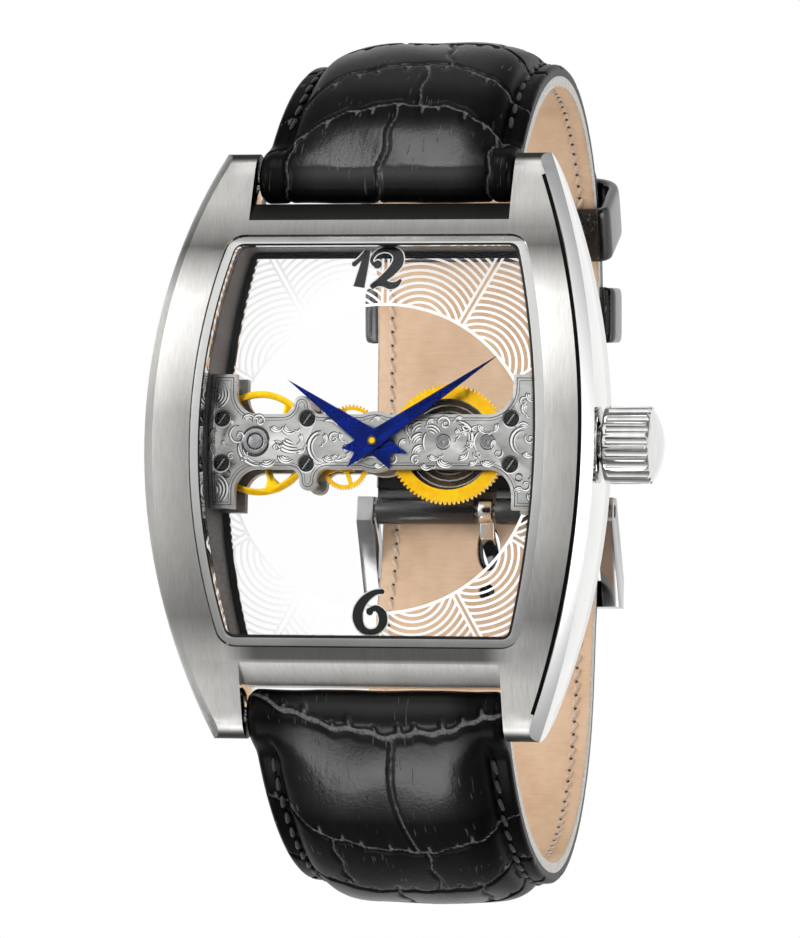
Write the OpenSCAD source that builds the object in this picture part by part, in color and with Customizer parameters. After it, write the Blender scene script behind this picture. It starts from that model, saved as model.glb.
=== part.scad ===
// Skeleton wristwatch: tonneau steel case, in-line bridge movement, leather strap closed with a pin buckle.
// Millimetres. Origin on the hands' axis at the outer face of the back crystal.
// +X points to the crown, +Y to twelve o'clock, +Z out of the front.

/* [Case] */
// Half width of the brushed front face at its middle
face_half_w = 18.2; // [16.5:0.1:20]
// Radius of the side arcs of the front face, seen from the front
face_side_r = 60.5; // [50:0.5:80]
// Radius of the front's curve from twelve to six
front_r = 55; // [45:1:80]
// Width of the polished bevel along the sides
bevel_w = 0.9; // [0.4:0.1:1.4]
// Depth of the polished bevel
bevel_h = 1.0; // [0.4:0.1:1.6]
// Distance of each spring bar from the hands' axis
lug_bar_y = 22.5; // [22:0.1:24]
// Radius of the rounded lug tips
lug_tip_r = 2.25; // [2:0.05:2.6]
// Play of the strap between the lugs
strap_play = 0.4; // [0.2:0.05:0.6]
// Distance of the case's end wall from the hands' axis
end_wall_y = 20.3; // [20:0.1:20.5]
// Distance where the sloping end face leaves the front face
end_slope_y = 18.6; // [18:0.1:19]
// Drop of the sloping end face
end_slope_drop = 2.6; // [1:0.1:3]

/* [Opening and crystals] */
// Half width of the window at its middle
open_half_w = 14.3; // [13.8:0.1:15]
// Half height of the window
open_half_h = 16.55; // [16:0.05:16.8]
// Radius of the window's side arcs
open_side_r = 61.2; // [50:0.2:80]
// Radius of the window's corners
open_corner_r = 0.9; // [0.6:0.1:3]
// Width of the polished ring around the crystal
ring_w = 0.75; // [0.6:0.05:0.9]
// Height of the polished ring
ring_h = 2.3; // [1.6:0.1:2.6]
// How far the ring lies below the front face
ring_recess = 0.15; // [0:0.05:0.5]
// Width of the dark movement holder's wall
holder_w = 0.55; // [0.4:0.05:0.6]
// Thickness of the front crystal
crystal_t = 1.1; // [0.8:0.1:1.4]
// How far the front crystal stands above the front face
crystal_rise = 0.3; // [0:0.1:0.5]
// Width of the crystal gaskets
gasket_w = 0.25; // [0.15:0.05:0.4]
// Thickness of the back crystal
back_crystal_t = 0.95; // [0.7:0.05:1.1]
// Play between the back crystal and the case
back_play = 0.01; // [0.005:0.005:0.03]
// How far the back frame lies above the back crystal's face
back_recess = 0.15; // [0.05:0.05:0.3]
// Width of the back frame around the window
back_frame_w = 2.3; // [1.9:0.1:2.6]
// Radius of the back frame's screw heads
back_screw_r = 0.65; // [0.4:0.05:0.8]
// Thickness of the patterned glass behind the movement
dial_glass_t = 0.4; // [0.3:0.05:0.5]

/* [Crown] */
// Radius over the flutes
crown_r = 3.25; // [2.6:0.05:3.6]
// Length of the crown
crown_len = 4.8; // [4.2:0.1:5.5]
// Depth of the crown's domed end
crown_dome = 1.1; // [0.6:0.1:1.4]
// Number of flutes
crown_flutes = 20; // [14:1:24]
// Radius of each flute
flute_r = 0.36; // [0.2:0.02:0.42]
// Gap between the case and the crown
crown_gap = 0.2; // [0.1:0.05:0.4]
// Outer radius of the crown tube
tube_r = 1.45; // [1.3:0.05:1.6]
// Bore radius of the crown tube
tube_bore_r = 1.0; // [0.8:0.05:1.1]
// Radius of the winding stem
stem_r = 0.5; // [0.4:0.05:0.6]

/* [Movement plates] */
// Thickness of the rear plate
plate_t = 1.0; // [0.7:0.05:1.2]
// Room between the rear plate and the front bridge
train_room = 3.25; // [3.2:0.05:3.4]
// Thickness of the front bridge
bridge_t = 0.8; // [0.6:0.05:0.9]
// Half width of the bridge's bar
bar_half_w = 2.3; // [2.2:0.05:2.6]
// Inner edge of the left foot
left_foot_x = -11.9; // [-12.2:0.1:-11.8]
// Inner edge of the right foot
right_foot_x = 11.7; // [11.6:0.1:12]
// Half height of the bridge's feet
foot_half_h = 5.65; // [5.2:0.05:6]
// Radius of the fillets between bar and feet
foot_fillet_r = 1.8; // [1:0.1:2.2]
// Radius of the bridge screws' heads
screw_head_r = 0.65; // [0.4:0.05:0.7]
// Radius of the bridge's jewels
jewel_r = 0.5; // [0.35:0.05:0.6]
// Radius of the balance's shock setting
shock_r = 1.08; // [0.8:0.02:1.2]

/* [Wheel train] */
// Distance of the barrel's axis from the hands' axis
barrel_x = 5.85; // [5.8:0.05:6]
// Teeth of the barrel
barrel_teeth = 80; // [60:1:90]
// Leaves of the centre pinion
centre_leaves = 14; // [12:1:16]
// Height of the barrel's drum
drum_h = 1.5; // [1.2:0.1:1.5]
// Wall of the barrel's drum
drum_wall = 0.35; // [0.25:0.05:0.5]
// Thickness of the mainspring's ribbon
mainspring_t = 0.12; // [0.08:0.01:0.13]
// Turns of the mainspring
mainspring_turns = 6; // [3:1:6]
// Thickness of the gold wheels
wheel_t = 0.2; // [0.12:0.01:0.2]
// Distance of the crown wheel's axis from the hands' axis
crown_wheel_x = 9.6; // [9.5:0.05:9.8]
// Radius of the balance wheel
balance_r = 4.4; // [4:0.05:4.4]
// Distance of the balance's axis from the hands' axis
balance_x = -10.2; // [-10.3:0.05:-10.2]
// Width of the balance's rim
balance_rim_w = 0.55; // [0.4:0.05:0.7]
// Height of the balance's rim
balance_rim_h = 0.6; // [0.4:0.05:0.6]
// Thickness of the hairspring's ribbon
hairspring_t = 0.07; // [0.04:0.01:0.08]
// Turns of the hairspring
hairspring_turns = 4; // [2:1:4]

/* [Hands] */
// Minutes shown past ten o'clock
minutes_shown = 9.3; // [0:0.1:59]
// Length of the minute hand
minute_len = 12.75; // [11:0.05:12.8]
// Length of the hour hand
hour_len = 9.05; // [7:0.05:10]
// Thickness of the hands
hand_t = 0.18; // [0.1:0.01:0.2]
// Length of the hands' tails
tail_len = 2.9; // [2:0.1:3.2]

/* [Strap] */
// Strap width at the lugs
strap_w = 21.8; // [20:0.1:22]
// Strap width at the buckle
strap_end_w = 20; // [18:0.1:21]
// Padded thickness near the case
strap_t = 4.1; // [3:0.1:4.4]
// Thickness near the buckle
strap_end_t = 2.3; // [2:0.1:2.6]
// Thickness of the lining
lining_t = 0.7; // [0.5:0.05:0.9]
// Half width of the closed loop, measured inside
loop_half_w = 33.8; // [32:0.1:36]
// Level of the loop's flat bottom, measured inside
loop_bottom_z = -41.5; // [-46:0.5:-38]
// Half length of the loop's flat bottom
loop_flat = 14; // [12:0.5:16]
// Radius of the strap's eyes round the spring bars
eye_r = 1.9; // [1.6:0.05:2]
// Radius of the spring bars
spring_bar_r = 0.9; // [0.7:0.05:1]
// Length of the free tail past the buckle, along the strap
tail_past = 33; // [31:0.5:36]
// Room between the two layers of the strap
layer_gap = 0.3; // [0.2:0.05:0.4]
// Distance between the strap's holes
hole_pitch = 4.0; // [3.5:0.1:6]
// Radius of the strap's holes
hole_r = 0.75; // [0.6:0.05:0.9]

/* [Buckle and keepers] */
// Place of the buckle's hinge bar along twelve to six
hinge_y = -1.4; // [-3:0.1:0]
// Distance from the hinge bar to the far bar
buckle_len = 7.2; // [6.5:0.1:8]
// Radius of the hinge bar
hinge_bar_r = 0.6; // [0.5:0.05:0.7]
// Width of the buckle's arms
arm_w = 1.5; // [1.2:0.1:2]
// Width of the far bar
far_bar_w = 2.4; // [2:0.1:2.8]
// Width of the tongue
tongue_w = 1.3; // [1:0.05:1.4]
// Thickness of the tongue
tongue_t = 0.74; // [0.6:0.02:0.8]
// Length of each keeper along the strap
keeper_len = 5; // [4:0.1:5.4]
// Wall of the keepers
keeper_wall = 1.1; // [0.8:0.05:1.3]
// Distance of the fixed keeper along the strap
keeper_fixed_s = 16.3; // [15:0.1:17]
// Distance of the free keeper along the strap
keeper_free_s = 24; // [23.5:0.1:25]

/* [Hidden] */
$fn = 48;
arc_fn = 360;
fit = 0.02;
run = 0.04;
loose = 0.3;
// Small step where a corner's arc meets the next face
edge_break = 0.01;
far = 80;

// Case outline, profile and bevel
side_half_w = face_half_w + bevel_w;
side_r = face_side_r + bevel_w;
case_z = back_crystal_t + back_play;
back_screw_y = open_half_h - 3.55;
back_screw_in = open_side_r - sqrt(pow(open_side_r, 2) - pow(back_screw_y, 2));
back_screw_l = 1.2;
back_thread_r = 0.33;
screw_slot = 0.2;
screw_slot_d = 0.15;
lug_bar_z = case_z + lug_tip_r;
front_c = lug_bar_z - sqrt(pow(front_r - lug_tip_r, 2) - pow(lug_bar_y, 2));
front_z = front_c + front_r;
lug_join_y = lug_bar_y * front_r / (front_r - lug_tip_r);
lug_join_z = front_c + (lug_bar_z - front_c) * front_r / (front_r - lug_tip_r);
bevel_a = atan(bevel_w / bevel_h);
bevel_drop = cos(bevel_a) * (face_side_r - sqrt(pow(face_side_r, 2) - pow(lug_bar_y, 2)))
    + sin(bevel_a) * (front_r - sqrt(pow(front_r, 2) - pow(lug_bar_y, 2)));
bevel_r = (pow(lug_bar_y, 2) + pow(bevel_drop, 2)) / (2 * bevel_drop);
end_slope_z = front_c + sqrt(pow(front_r, 2) - pow(end_slope_y, 2));
lug_gap = strap_w + strap_play;
spring_pivot_r = 0.4;
spring_pivot_l = 1.0;

// Levels of the layers from the back to the front
glass_z = case_z + 0.1;
holder_z = glass_z + dial_glass_t + 0.03;
plate_z = holder_z + 0.2;
train_z = plate_z + plate_t;
bridge_z = train_z + train_room;
bridge_top = bridge_z + bridge_t;
drum_z = train_z + 0.2;
cover_z = drum_z + drum_h;
cover_t = 0.4;
centre_wheel_z = cover_z + cover_t + 0.15;
third_wheel_z = train_z + 1.25;
fourth_wheel_z = train_z + 1.95;
escape_wheel_z = train_z + 1.4;
motion_z = centre_wheel_z + wheel_t + 0.1;
hour_wheel_z = motion_z + 0.3;
ratchet_z = bridge_z - 0.65;
ratchet_t = 0.3;
hour_hand_z = bridge_top + 0.45;
minute_hand_z = hour_hand_z + hand_t + 0.25;
roller_z = escape_wheel_z - 0.05;
hairspring_z = roller_z + 0.38;
balance_arm_z = hairspring_z + 0.33;
balance_rim_z = balance_arm_z - 0.12;

// Wheel places and tooth counts
barrel_p = [barrel_x, 0];
third_p = [-2.6, 1.0];
fourth_p = [-2.9, -1.89];
escape_p = [-5.2, -1.4];
balance_p = [balance_x, 0];
crown_wheel_p = [crown_wheel_x, 0];
minute_wheel_p = [1.6, 0];
centre_teeth = 54;
third_leaves = 14;
third_teeth = 46;
fourth_leaves = 12;
fourth_teeth = 50;
escape_leaves = 10;
escape_teeth = 15;
cannon_teeth = 12;
minute_teeth = 36;
minute_leaves = 10;
hour_teeth = 40;
crown_teeth = 32;
ratchet_teeth = 43;
face_teeth = 20;
pinion_teeth = 10;
hub = [0, 0];
barrel_m = 2 * norm(barrel_p) / (barrel_teeth + centre_leaves);
centre_m = 2 * norm(third_p) / (centre_teeth + third_leaves);
third_m = 2 * norm(fourth_p - third_p) / (third_teeth + fourth_leaves);
fourth_m = 2 * norm(escape_p - fourth_p) / (fourth_teeth + escape_leaves);
cannon_m = 2 * norm(minute_wheel_p) / (cannon_teeth + minute_teeth);
hour_m = 2 * norm(minute_wheel_p) / (minute_leaves + hour_teeth);
ratchet_m = 2 * (crown_wheel_x - barrel_x) / (crown_teeth + ratchet_teeth);
barrel_r = barrel_m * barrel_teeth / 2;
drum_r = barrel_r - 0.3;
crown_wheel_r = ratchet_m * crown_teeth / 2;
face_r = crown_wheel_r - 0.15;
pinion_r = face_r * pinion_teeth / face_teeth;
stem_z = ratchet_z - 0.15 - pinion_r;
pinion_x = crown_wheel_x + face_r;
arbor_r = 0.2;
pivot_r = 0.1;
pipe_r = 0.38;
hour_bore_r = pipe_r + 0.06;
hour_pipe_r = 0.62;
hub_bore_r = hour_pipe_r + 0.08;
barrel_arbor_r = 0.5;
arbor_core_r = 0.9;
escape_r = 1.5;
pallet_dir = (balance_p - escape_p) / norm(balance_p - escape_p);
pallet_reach = escape_r / cos(30);
pallet_p = escape_p + pallet_dir * pallet_reach;
pallet_len = norm(balance_p - pallet_p) - 0.55;
pallet_a = atan2(pallet_dir[1], pallet_dir[0]);
staff_r = 0.16;
click_p = [3.1, -1.55];
click_tip = [4.35, -1.62];
screw_places = [[-13.1, 1.87], [-13.1, -1.87], [-5.8, 1.89], [-5.8, -1.89], [11.55, 1.92], [11.55, -1.92]];
screw_sink = 0.35;
pillars = [[-6.0, 3.0, 0.4], [-5.7, -3.35, 0.35], [11.55, 1.92, 0.45], [11.55, -1.92, 0.45],
           [-13.0, 4.75, 0.5], [-13.0, -4.75, 0.5], [12.9, 4.6, 0.5], [12.9, -4.6, 0.5]];
minute_a = 90 - minutes_shown * 6;
hour_a = 90 - 300 - minutes_shown / 2;
minute_w = 0.75;
hour_w = 0.9;

// Crown
crown_x = side_half_w + crown_gap;
crown_cavity_l = 3.0;
crown_cavity_r = tube_r + 0.22;
tube_out = crown_x + 2.3;

// Path of the strap: a flat bottom, a lower arc and an upper arc that ends at the spring bar
arc_c = [loop_flat, loop_bottom_z + loop_half_w - loop_flat];
arc_r = loop_half_w - loop_flat;
bar_dy = lug_bar_y - loop_half_w;
bar_dz = lug_bar_z - arc_c[1];
top_r = (pow(bar_dy, 2) + pow(bar_dz, 2) - pow(eye_r, 2)) / (2 * (eye_r - bar_dy));
top_c = [loop_half_w - top_r, arc_c[1]];
bar_a = atan2(bar_dz, lug_bar_y - top_c[0]);
arc_l = arc_r * PI / 2;
bar_s = loop_flat + arc_l + top_r * bar_a * PI / 180;
// Outward direction of the strap at the distance s from the middle of the bottom, as an angle
function half_turn(s) = s <= loop_flat ? -90
    : s <= loop_flat + arc_l ? -90 + (s - loop_flat) / arc_r * 180 / PI
    : (s - loop_flat - arc_l) / top_r * 180 / PI;
function half_point(s) = s <= loop_flat ? [s, loop_bottom_z]
    : s <= loop_flat + arc_l ? arc_c + arc_r * [cos(half_turn(s)), sin(half_turn(s))]
    : top_c + top_r * [cos(half_turn(s)), sin(half_turn(s))];
// Point d outside the path, at the distance s (negative on the six o'clock side)
function loop_point(s, d) =
    let(h = half_point(abs(s)), a = half_turn(abs(s)), p = h + d * [cos(a), sin(a)])
    [s < 0 ? -p[0] : p[0], p[1]];
function blend(x) = let(c = min(1, max(0, x))) c * c * (3 - 2 * c);
// Strap thickness and width at the distance s
function leather_t(s) = strap_end_t + (strap_t - strap_end_t) * blend((abs(s) - 8) / 50);
function leather_w(s) = strap_end_w + (strap_w - strap_end_w) * min(1, abs(s) / bar_s);
layer_step = leather_t(0) + layer_gap;
function outer_layer(s) = s < 0 ? layer_step * blend((s + 17) / 13) : leather_t(s) + layer_gap;
tail_w = leather_w(0) - 0.3;
function tail_width(s) = s < 0 ? leather_w(s) - 0.3 * blend((s + 17) / 13)
    : tail_w * sqrt(max(0.04, 1 - pow(max(0, s - tail_past + 7) / 7.4, 2)));

// Buckle
hinge_eye_r = 1.25;
hinge_p = [hinge_y, loop_bottom_z - hinge_eye_r + 0.05];
far_y = hinge_y - buckle_len;
far_edge_y = far_y + far_bar_w / 2;
far_in_z = loop_bottom_z - outer_layer(far_edge_y) - leather_t(far_edge_y) - loose;
keeper_stack = leather_t(keeper_fixed_s + keeper_len / 2) * 2 + layer_gap;
keeper_turn = half_turn(keeper_fixed_s);
rest_z = half_point(keeper_fixed_s)[1] + (keeper_stack + loose + keeper_wall) * sin(keeper_turn)
    - keeper_len / 2 * cos(keeper_turn);
buckle_in = leather_w(0) / 2 + loose;
hole_y = hinge_y - 3.3;
slot_r = tongue_w / 2 + 0.3;
slot_half = 0.9;

// Tooth phase of a wheel so that it meshes with its neighbour; dir is the direction to it from the neighbour
function mesh_phase(phase, n, n_next, dir) = dir + 180 - (phase - dir) * n / n_next + 180 / n_next;
function dir_of(a, b) = atan2(b[1] - a[1], b[0] - a[0]);
barrel_phase = mesh_phase(0, centre_leaves, barrel_teeth, dir_of(hub, barrel_p));
third_pinion_phase = mesh_phase(0, centre_teeth, third_leaves, dir_of(hub, third_p));
fourth_pinion_phase = mesh_phase(0, third_teeth, fourth_leaves, dir_of(third_p, fourth_p));
escape_pinion_phase = mesh_phase(0, fourth_teeth, escape_leaves, dir_of(fourth_p, escape_p));
minute_wheel_phase = mesh_phase(0, cannon_teeth, minute_teeth, dir_of(hub, minute_wheel_p));
hour_phase = mesh_phase(0, minute_leaves, hour_teeth, dir_of(minute_wheel_p, hub));
ratchet_phase = mesh_phase(0, crown_teeth, ratchet_teeth, dir_of(crown_wheel_p, barrel_p));

// Spiral ribbon: centre line from r0 to r1, n turns, k points a turn
function spiral_r(r0, r1, u) = r0 + (r1 - r0) * u;
function spiral_side(r0, r1, n, k, off) = [for (i = [0 : n * k]) let(u = i / (n * k), r = spiral_r(r0, r1, u) + off)
    [r * cos(u * n * 360), r * sin(u * n * 360)]];
spiral_k = 28;
main_r0 = arbor_core_r + 0.12;
main_r1 = drum_r - drum_wall - mainspring_t / 2 - 0.02;
hair_r0 = 0.42;
hair_r1 = 2.45;
// Least gap of a spiral to itself, measured on its points one turn apart
function spiral_gap(r0, r1, n, t) = let(p = spiral_side(r0, r1, n, spiral_k, 0))
    min([for (i = [0 : len(p) - spiral_k - 1]) for (j = [-2 : 2]) if (i + spiral_k + j < len(p))
        norm(p[i] - p[i + spiral_k + j])]) - t;
echo(mainspring_gap_mm = spiral_gap(main_r0, main_r1, mainspring_turns, mainspring_t));
echo(hairspring_gap_mm = spiral_gap(hair_r0, hair_r1, hairspring_turns, hairspring_t));

// Shared forms
module at(p, z = 0) {
    translate([p[0], p[1], z])
        children();
}

// An outline in Y and Z, drawn out along X
module along_x(length) {
    rotate([90, 0, 90])
        linear_extrude(height = length, center = true)
            children();
}

// Tonneau outline: two side arcs, straight ends and rounded corners
module tonneau(half_w, half_h, r, corner) {
    cy = half_h - corner;
    cx = half_w - r + sqrt(pow(r - corner, 2) - cy * cy);
    tx = half_w - r + (cx - half_w + r) * r / (r - corner);
    ty = cy * r / (r - corner);
    edge = half_w + 1;
    edge_y = half_h + (edge - cx) * (ty - half_h) / (tx - cx);
    intersection() {
        translate([half_w - r, 0])
            circle(r = r, $fn = arc_fn);
        translate([r - half_w, 0])
            circle(r = r, $fn = arc_fn);
        polygon([[cx, half_h], [edge, edge_y], [edge, -edge_y], [cx, -half_h],
                 [-cx, -half_h], [-edge, -edge_y], [-edge, edge_y], [-cx, half_h]]);
    }
    for (sx = [-1, 1])
        for (sy = [-1, 1])
            translate([sx * cx, sy * cy])
                circle(r = corner - edge_break);
}

// The window's outline, grown by g
module window(g) {
    tonneau(open_half_w + g, open_half_h + g, open_side_r + g, open_corner_r + max(g, -0.4));
}

module window_block(g, z0, z1) {
    translate([0, 0, z0])
        linear_extrude(height = z1 - z0)
            window(g);
}

// Round block under the curved front, at a depth below it
module front_round(depth) {
    translate([0, 0, front_c])
        rotate([0, 90, 0])
            cylinder(r = front_r - depth, h = far, center = true, $fn = arc_fn);
}

// Layer that follows the curved front, between two depths below it
module front_layer(depth_top, depth_bottom) {
    difference() {
        front_round(depth_top);
        front_round(depth_bottom);
    }
}

module disc(r, z0, z1) {
    translate([0, 0, z0])
        cylinder(r = r, h = z1 - z0);
}

module ring_block(r_out, r_in, z0, z1) {
    difference() {
        disc(r_out, z0, z1);
        disc(r_in, z0 - 1, z1 + 1);
    }
}

// Gear outline with trapezoid teeth; side clearance comes from thin teeth
module gear(n, m, phase, addendum = 0.85) {
    r = n * m / 2;
    half = 90 / n * 0.84;
    root = r - 1.15 * m;
    tip = r + addendum * m;
    polygon([for (i = [0 : n - 1]) let(a = phase + i * 360 / n)
        for (p = [[root, -half * 1.5], [r, -half], [tip, -half * 0.45], [tip, half * 0.45], [r, half], [root, half * 1.5]])
            [p[0] * cos(a + p[1]), p[0] * sin(a + p[1])]]);
}

// Round windows between spokes
module spoke_windows(r_out, r_in, count, width, turn = 0) {
    difference() {
        circle(r = r_out);
        circle(r = r_in);
        for (i = [0 : count - 1])
            rotate(turn + i * 360 / count)
                translate([0, -width / 2])
                    square([r_out + 1, width]);
    }
}

// Spoked gold wheel with its arbor and pinion; pinion from z0 to z1, wheel at z
module train_wheel(n, m, phase, wheel_z, leaves, pinion_m, pinion_phase, z0, z1, bottom, top) {
    rim = n * m / 2 - 0.38;
    pinion_root = leaves * pinion_m / 2 - 1.15 * pinion_m;
    color("gold")
        translate([0, 0, wheel_z])
            linear_extrude(height = wheel_t)
                difference() {
                    gear(n, m, phase);
                    spoke_windows(rim, max(0.5, pinion_root), 4, 0.34, 20);
                    circle(r = arbor_r);
                }
    color("silver") {
        translate([0, 0, z0])
            linear_extrude(height = z1 - z0)
                gear(leaves, pinion_m, pinion_phase);
        disc(arbor_r, bottom + 0.15, top - 0.15);
        disc(pivot_r, bottom - 0.2, top + 0.2);
    }
}

// Case
module case_outline() {
    intersection() {
        translate([side_half_w - side_r, 0])
            circle(r = side_r, $fn = arc_fn);
        translate([side_r - side_half_w, 0])
            circle(r = side_r, $fn = arc_fn);
        square([2 * side_half_w + 2, 2 * (lug_bar_y + lug_tip_r) + 2], center = true);
    }
}

// Large tilted cylinder whose surface is one bevel, carried on from twelve to six
module bevel_keep(s) {
    edge = [s * face_half_w, 0, front_z];
    inward = [s * cos(bevel_a), 0, sin(bevel_a)];
    translate(edge - bevel_r * inward)
        rotate([0, -s * bevel_a, 0])
            rotate(90 + s * 90)
                cylinder(r = bevel_r, h = far * 1.1, center = true, $fn = arc_fn);
}

module bevelled_block() {
    intersection() {
        linear_extrude(height = front_z + 1)
            case_outline();
        bevel_keep(1);
        bevel_keep(-1);
    }
}

module case_block() {
    intersection() {
        bevelled_block();
        front_round(0);
        along_x(far)
            polygon([[-lug_bar_y, case_z], [lug_bar_y, case_z], [lug_join_y, lug_join_z], [lug_bar_y, front_z + 1],
                     [-lug_bar_y, front_z + 1], [-lug_join_y, lug_join_z]]);
    }
    intersection() {
        bevelled_block();
        for (s = [-1, 1])
            translate([0, s * lug_bar_y, lug_bar_z])
                rotate([0, 90, 0])
                    cylinder(r = lug_tip_r - edge_break, h = far, center = true, $fn = 96);
    }
}

module end_slope() {
    along_x(lug_gap)
        for (s = [-1, 1])
            polygon([[s * end_slope_y, end_slope_z], [s * end_slope_y, end_slope_z + 5], [s * (end_wall_y + 2), end_slope_z + 5],
                     [s * (end_wall_y + 2), end_slope_z - end_slope_drop], [s * end_wall_y, end_slope_z - end_slope_drop]]);
}

module back_screw_places() {
    for (sy = [-1, 1]) {
        for (sx = [-1, 1])
            translate([sx * (open_half_w + back_frame_w / 2 - back_screw_in), sy * back_screw_y, 0])
                children();
        translate([0, sy * (open_half_h + back_frame_w / 2), 0])
            children();
    }
}

module mid_case() {
    color("silver")
        difference() {
            case_block();
            end_slope();
            for (s = [-1, 1])
                translate([-lug_gap / 2, s > 0 ? end_wall_y : -end_wall_y - far, -1])
                    cube([lug_gap, far, far]);
            // window: a wide step for the ring, and the holder's wall through
            difference() {
                window_block(ring_w + fit, 0, front_z + 2);
                front_round(ring_h);
            }
            window_block(holder_w + fit, -1, front_z + 2);
            for (s = [-1, 1])
                translate([0, s * lug_bar_y, lug_bar_z])
                    rotate([0, 90, 0])
                        cylinder(r = spring_pivot_r + 0.03, h = lug_gap + 2 * spring_pivot_l + 0.4, center = true);
            translate([open_half_w, 0, stem_z])
                rotate([0, 90, 0])
                    cylinder(r = tube_r + fit, h = 10);
            back_screw_places()
                disc(back_thread_r + fit, case_z - 1, case_z + back_screw_l + 0.2);
        }
}

module crystal_ring() {
    color("gainsboro")
        intersection() {
            difference() {
                window_block(ring_w, 0, front_z + 2);
                window_block(0, -1, front_z + 3);
            }
            front_layer(ring_recess, ring_h);
        }
}

module front_crystal() {
    color([0.8, 0.9, 1, 0.3])
        intersection() {
            window_block(-gasket_w, 0, front_z + 2);
            front_layer(-crystal_rise, crystal_t - crystal_rise);
        }
}

module crystal_gasket() {
    color("dimgray")
        intersection() {
            difference() {
                window_block(0, 0, front_z + 2);
                window_block(-gasket_w, -1, front_z + 3);
            }
            front_layer(ring_recess + 0.2, crystal_t - crystal_rise);
        }
}

module movement_holder() {
    color("dimgray")
        difference() {
            intersection() {
                window_block(holder_w, holder_z, front_z);
                front_round(ring_h);
            }
            window_block(0, holder_z - 1, front_z + 1);
            at(balance_p)
                disc(balance_r + 0.12, balance_rim_z - 0.2, balance_rim_z + balance_rim_h + 0.2);
            translate([0, 0, stem_z])
                rotate([0, 90, 0])
                    cylinder(r = stem_r + 0.4, h = far);
        }
}

module back_frame() {
    color("silver")
        difference() {
            window_block(back_frame_w, back_recess, case_z);
            window_block(0, -1, case_z + 1);
            back_screw_places() {
                disc(back_thread_r + 0.05, -1, case_z + 1);
                disc(back_screw_r + 0.03, -1, back_recess + 0.35);
            }
        }
}

module back_crystal() {
    color([0.8, 0.9, 1, 0.3])
        window_block(-gasket_w, 0, back_crystal_t);
}

module back_gasket() {
    color("dimgray")
        difference() {
            window_block(0, back_recess, case_z);
            window_block(-gasket_w, -1, case_z + 1);
        }
}

module back_screws() {
    color("silver")
        back_screw_places()
            difference() {
                union() {
                    disc(back_screw_r, back_recess, back_recess + 0.35);
                    disc(back_thread_r, back_recess + 0.2, case_z + back_screw_l);
                }
                translate([-far / 2, -screw_slot / 2, back_recess - far])
                    cube([far, screw_slot, far + screw_slot_d]);
            }
}

module dial_glass() {
    color([0.9, 0.9, 0.9, 0.3])
        window_block(holder_w - 0.02, glass_z, glass_z + dial_glass_t);
}

module crown_tube() {
    color("silver")
        translate([open_half_w + holder_w + 0.5, 0, stem_z])
            rotate([0, 90, 0])
                ring_block(tube_r, tube_bore_r, 0, tube_out - open_half_w - holder_w - 0.5);
}

// Movement plates
module fillet_at(x, y, sx, sy, r) {
    translate([x, y])
        difference() {
            translate([sx > 0 ? 0 : -r, sy > 0 ? 0 : -r])
                square([r, r]);
            translate([sx * r, sy * r])
                circle(r = r);
        }
}

module bridge_outline() {
    intersection() {
        window(-0.06);
        union() {
            square([2 * open_half_w + 2, 2 * bar_half_w], center = true);
            circle(r = bar_half_w + 0.25);
            translate([-open_half_w - 1, -foot_half_h])
                square([left_foot_x + open_half_w + 1, 2 * foot_half_h]);
            translate([right_foot_x, -foot_half_h])
                square([open_half_w + 1 - right_foot_x, 2 * foot_half_h]);
            for (sy = [-1, 1]) {
                fillet_at(left_foot_x, sy * bar_half_w, 1, sy, foot_fillet_r);
                fillet_at(right_foot_x, sy * bar_half_w, -1, sy, foot_fillet_r + 0.4);
            }
            lobe(-6.3, 3.1, 1);
            lobe(-5.65, 3.35, -1);
        }
    }
}

// Rounded ear on the bar, with a fillet on each side
module lobe(x, y, sy) {
    lobe_r = 0.75;
    translate([x, sy * y])
        circle(r = lobe_r);
    translate([x - lobe_r, sy > 0 ? 0 : -y])
        square([2 * lobe_r, y]);
    fillet_at(x - lobe_r, sy * bar_half_w, -1, sy, 0.9);
    fillet_at(x + lobe_r, sy * bar_half_w, 1, sy, 0.9);
}

module main_plate() {
    color("silver")
        difference() {
            union() {
                translate([0, 0, plate_z])
                    linear_extrude(height = plate_t)
                        bridge_outline();
                for (p = pillars)
                    at(p)
                        disc(p[2], train_z - 0.1, bridge_z);
            }
            for (p = [hub, barrel_p, third_p, fourth_p, escape_p, pallet_p, balance_p])
                at(p)
                    disc(0.35, train_z - 0.5, train_z + 1);
        }
}

module train_bridge() {
    color("silver") {
        difference() {
            translate([0, 0, bridge_z])
                linear_extrude(height = bridge_t)
                    bridge_outline();
            disc(hub_bore_r, bridge_z - 1, bridge_top + 1);
            for (p = [barrel_p, crown_wheel_p])
                at(p)
                    disc(jewel_r, bridge_z - 1, bridge_top + 1);
            at(balance_p)
                disc(shock_r, bridge_z - 1, bridge_top + 1);
            for (p = [third_p, fourth_p, escape_p])
                at(p)
                    disc(pivot_r + run, bridge_z - 1, bridge_z + 0.3);
            for (p = screw_places)
                at(p) {
                    disc(screw_head_r + 0.03, bridge_top - screw_sink, bridge_top + 1);
                    disc(0.32, bridge_z + 0.15, bridge_top + 1);
                }
        }
        // post that carries the motion work's minute wheel
        at(minute_wheel_p)
            disc(0.14, motion_z - 0.08, bridge_z);
        at(click_p)
            disc(0.2, ratchet_z - 0.05, bridge_z);
    }
}

module bridge_screws() {
    color("black")
        for (p = screw_places)
            at(p)
                difference() {
                    union() {
                        disc(screw_head_r, bridge_top - screw_sink, bridge_top + 0.08);
                        disc(0.3, bridge_z + 0.18, bridge_top - 0.1);
                    }
                    rotate(55)
                        translate([-1, -0.09, bridge_top - 0.12])
                            cube([2, 0.18, 1]);
                }
}

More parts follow.
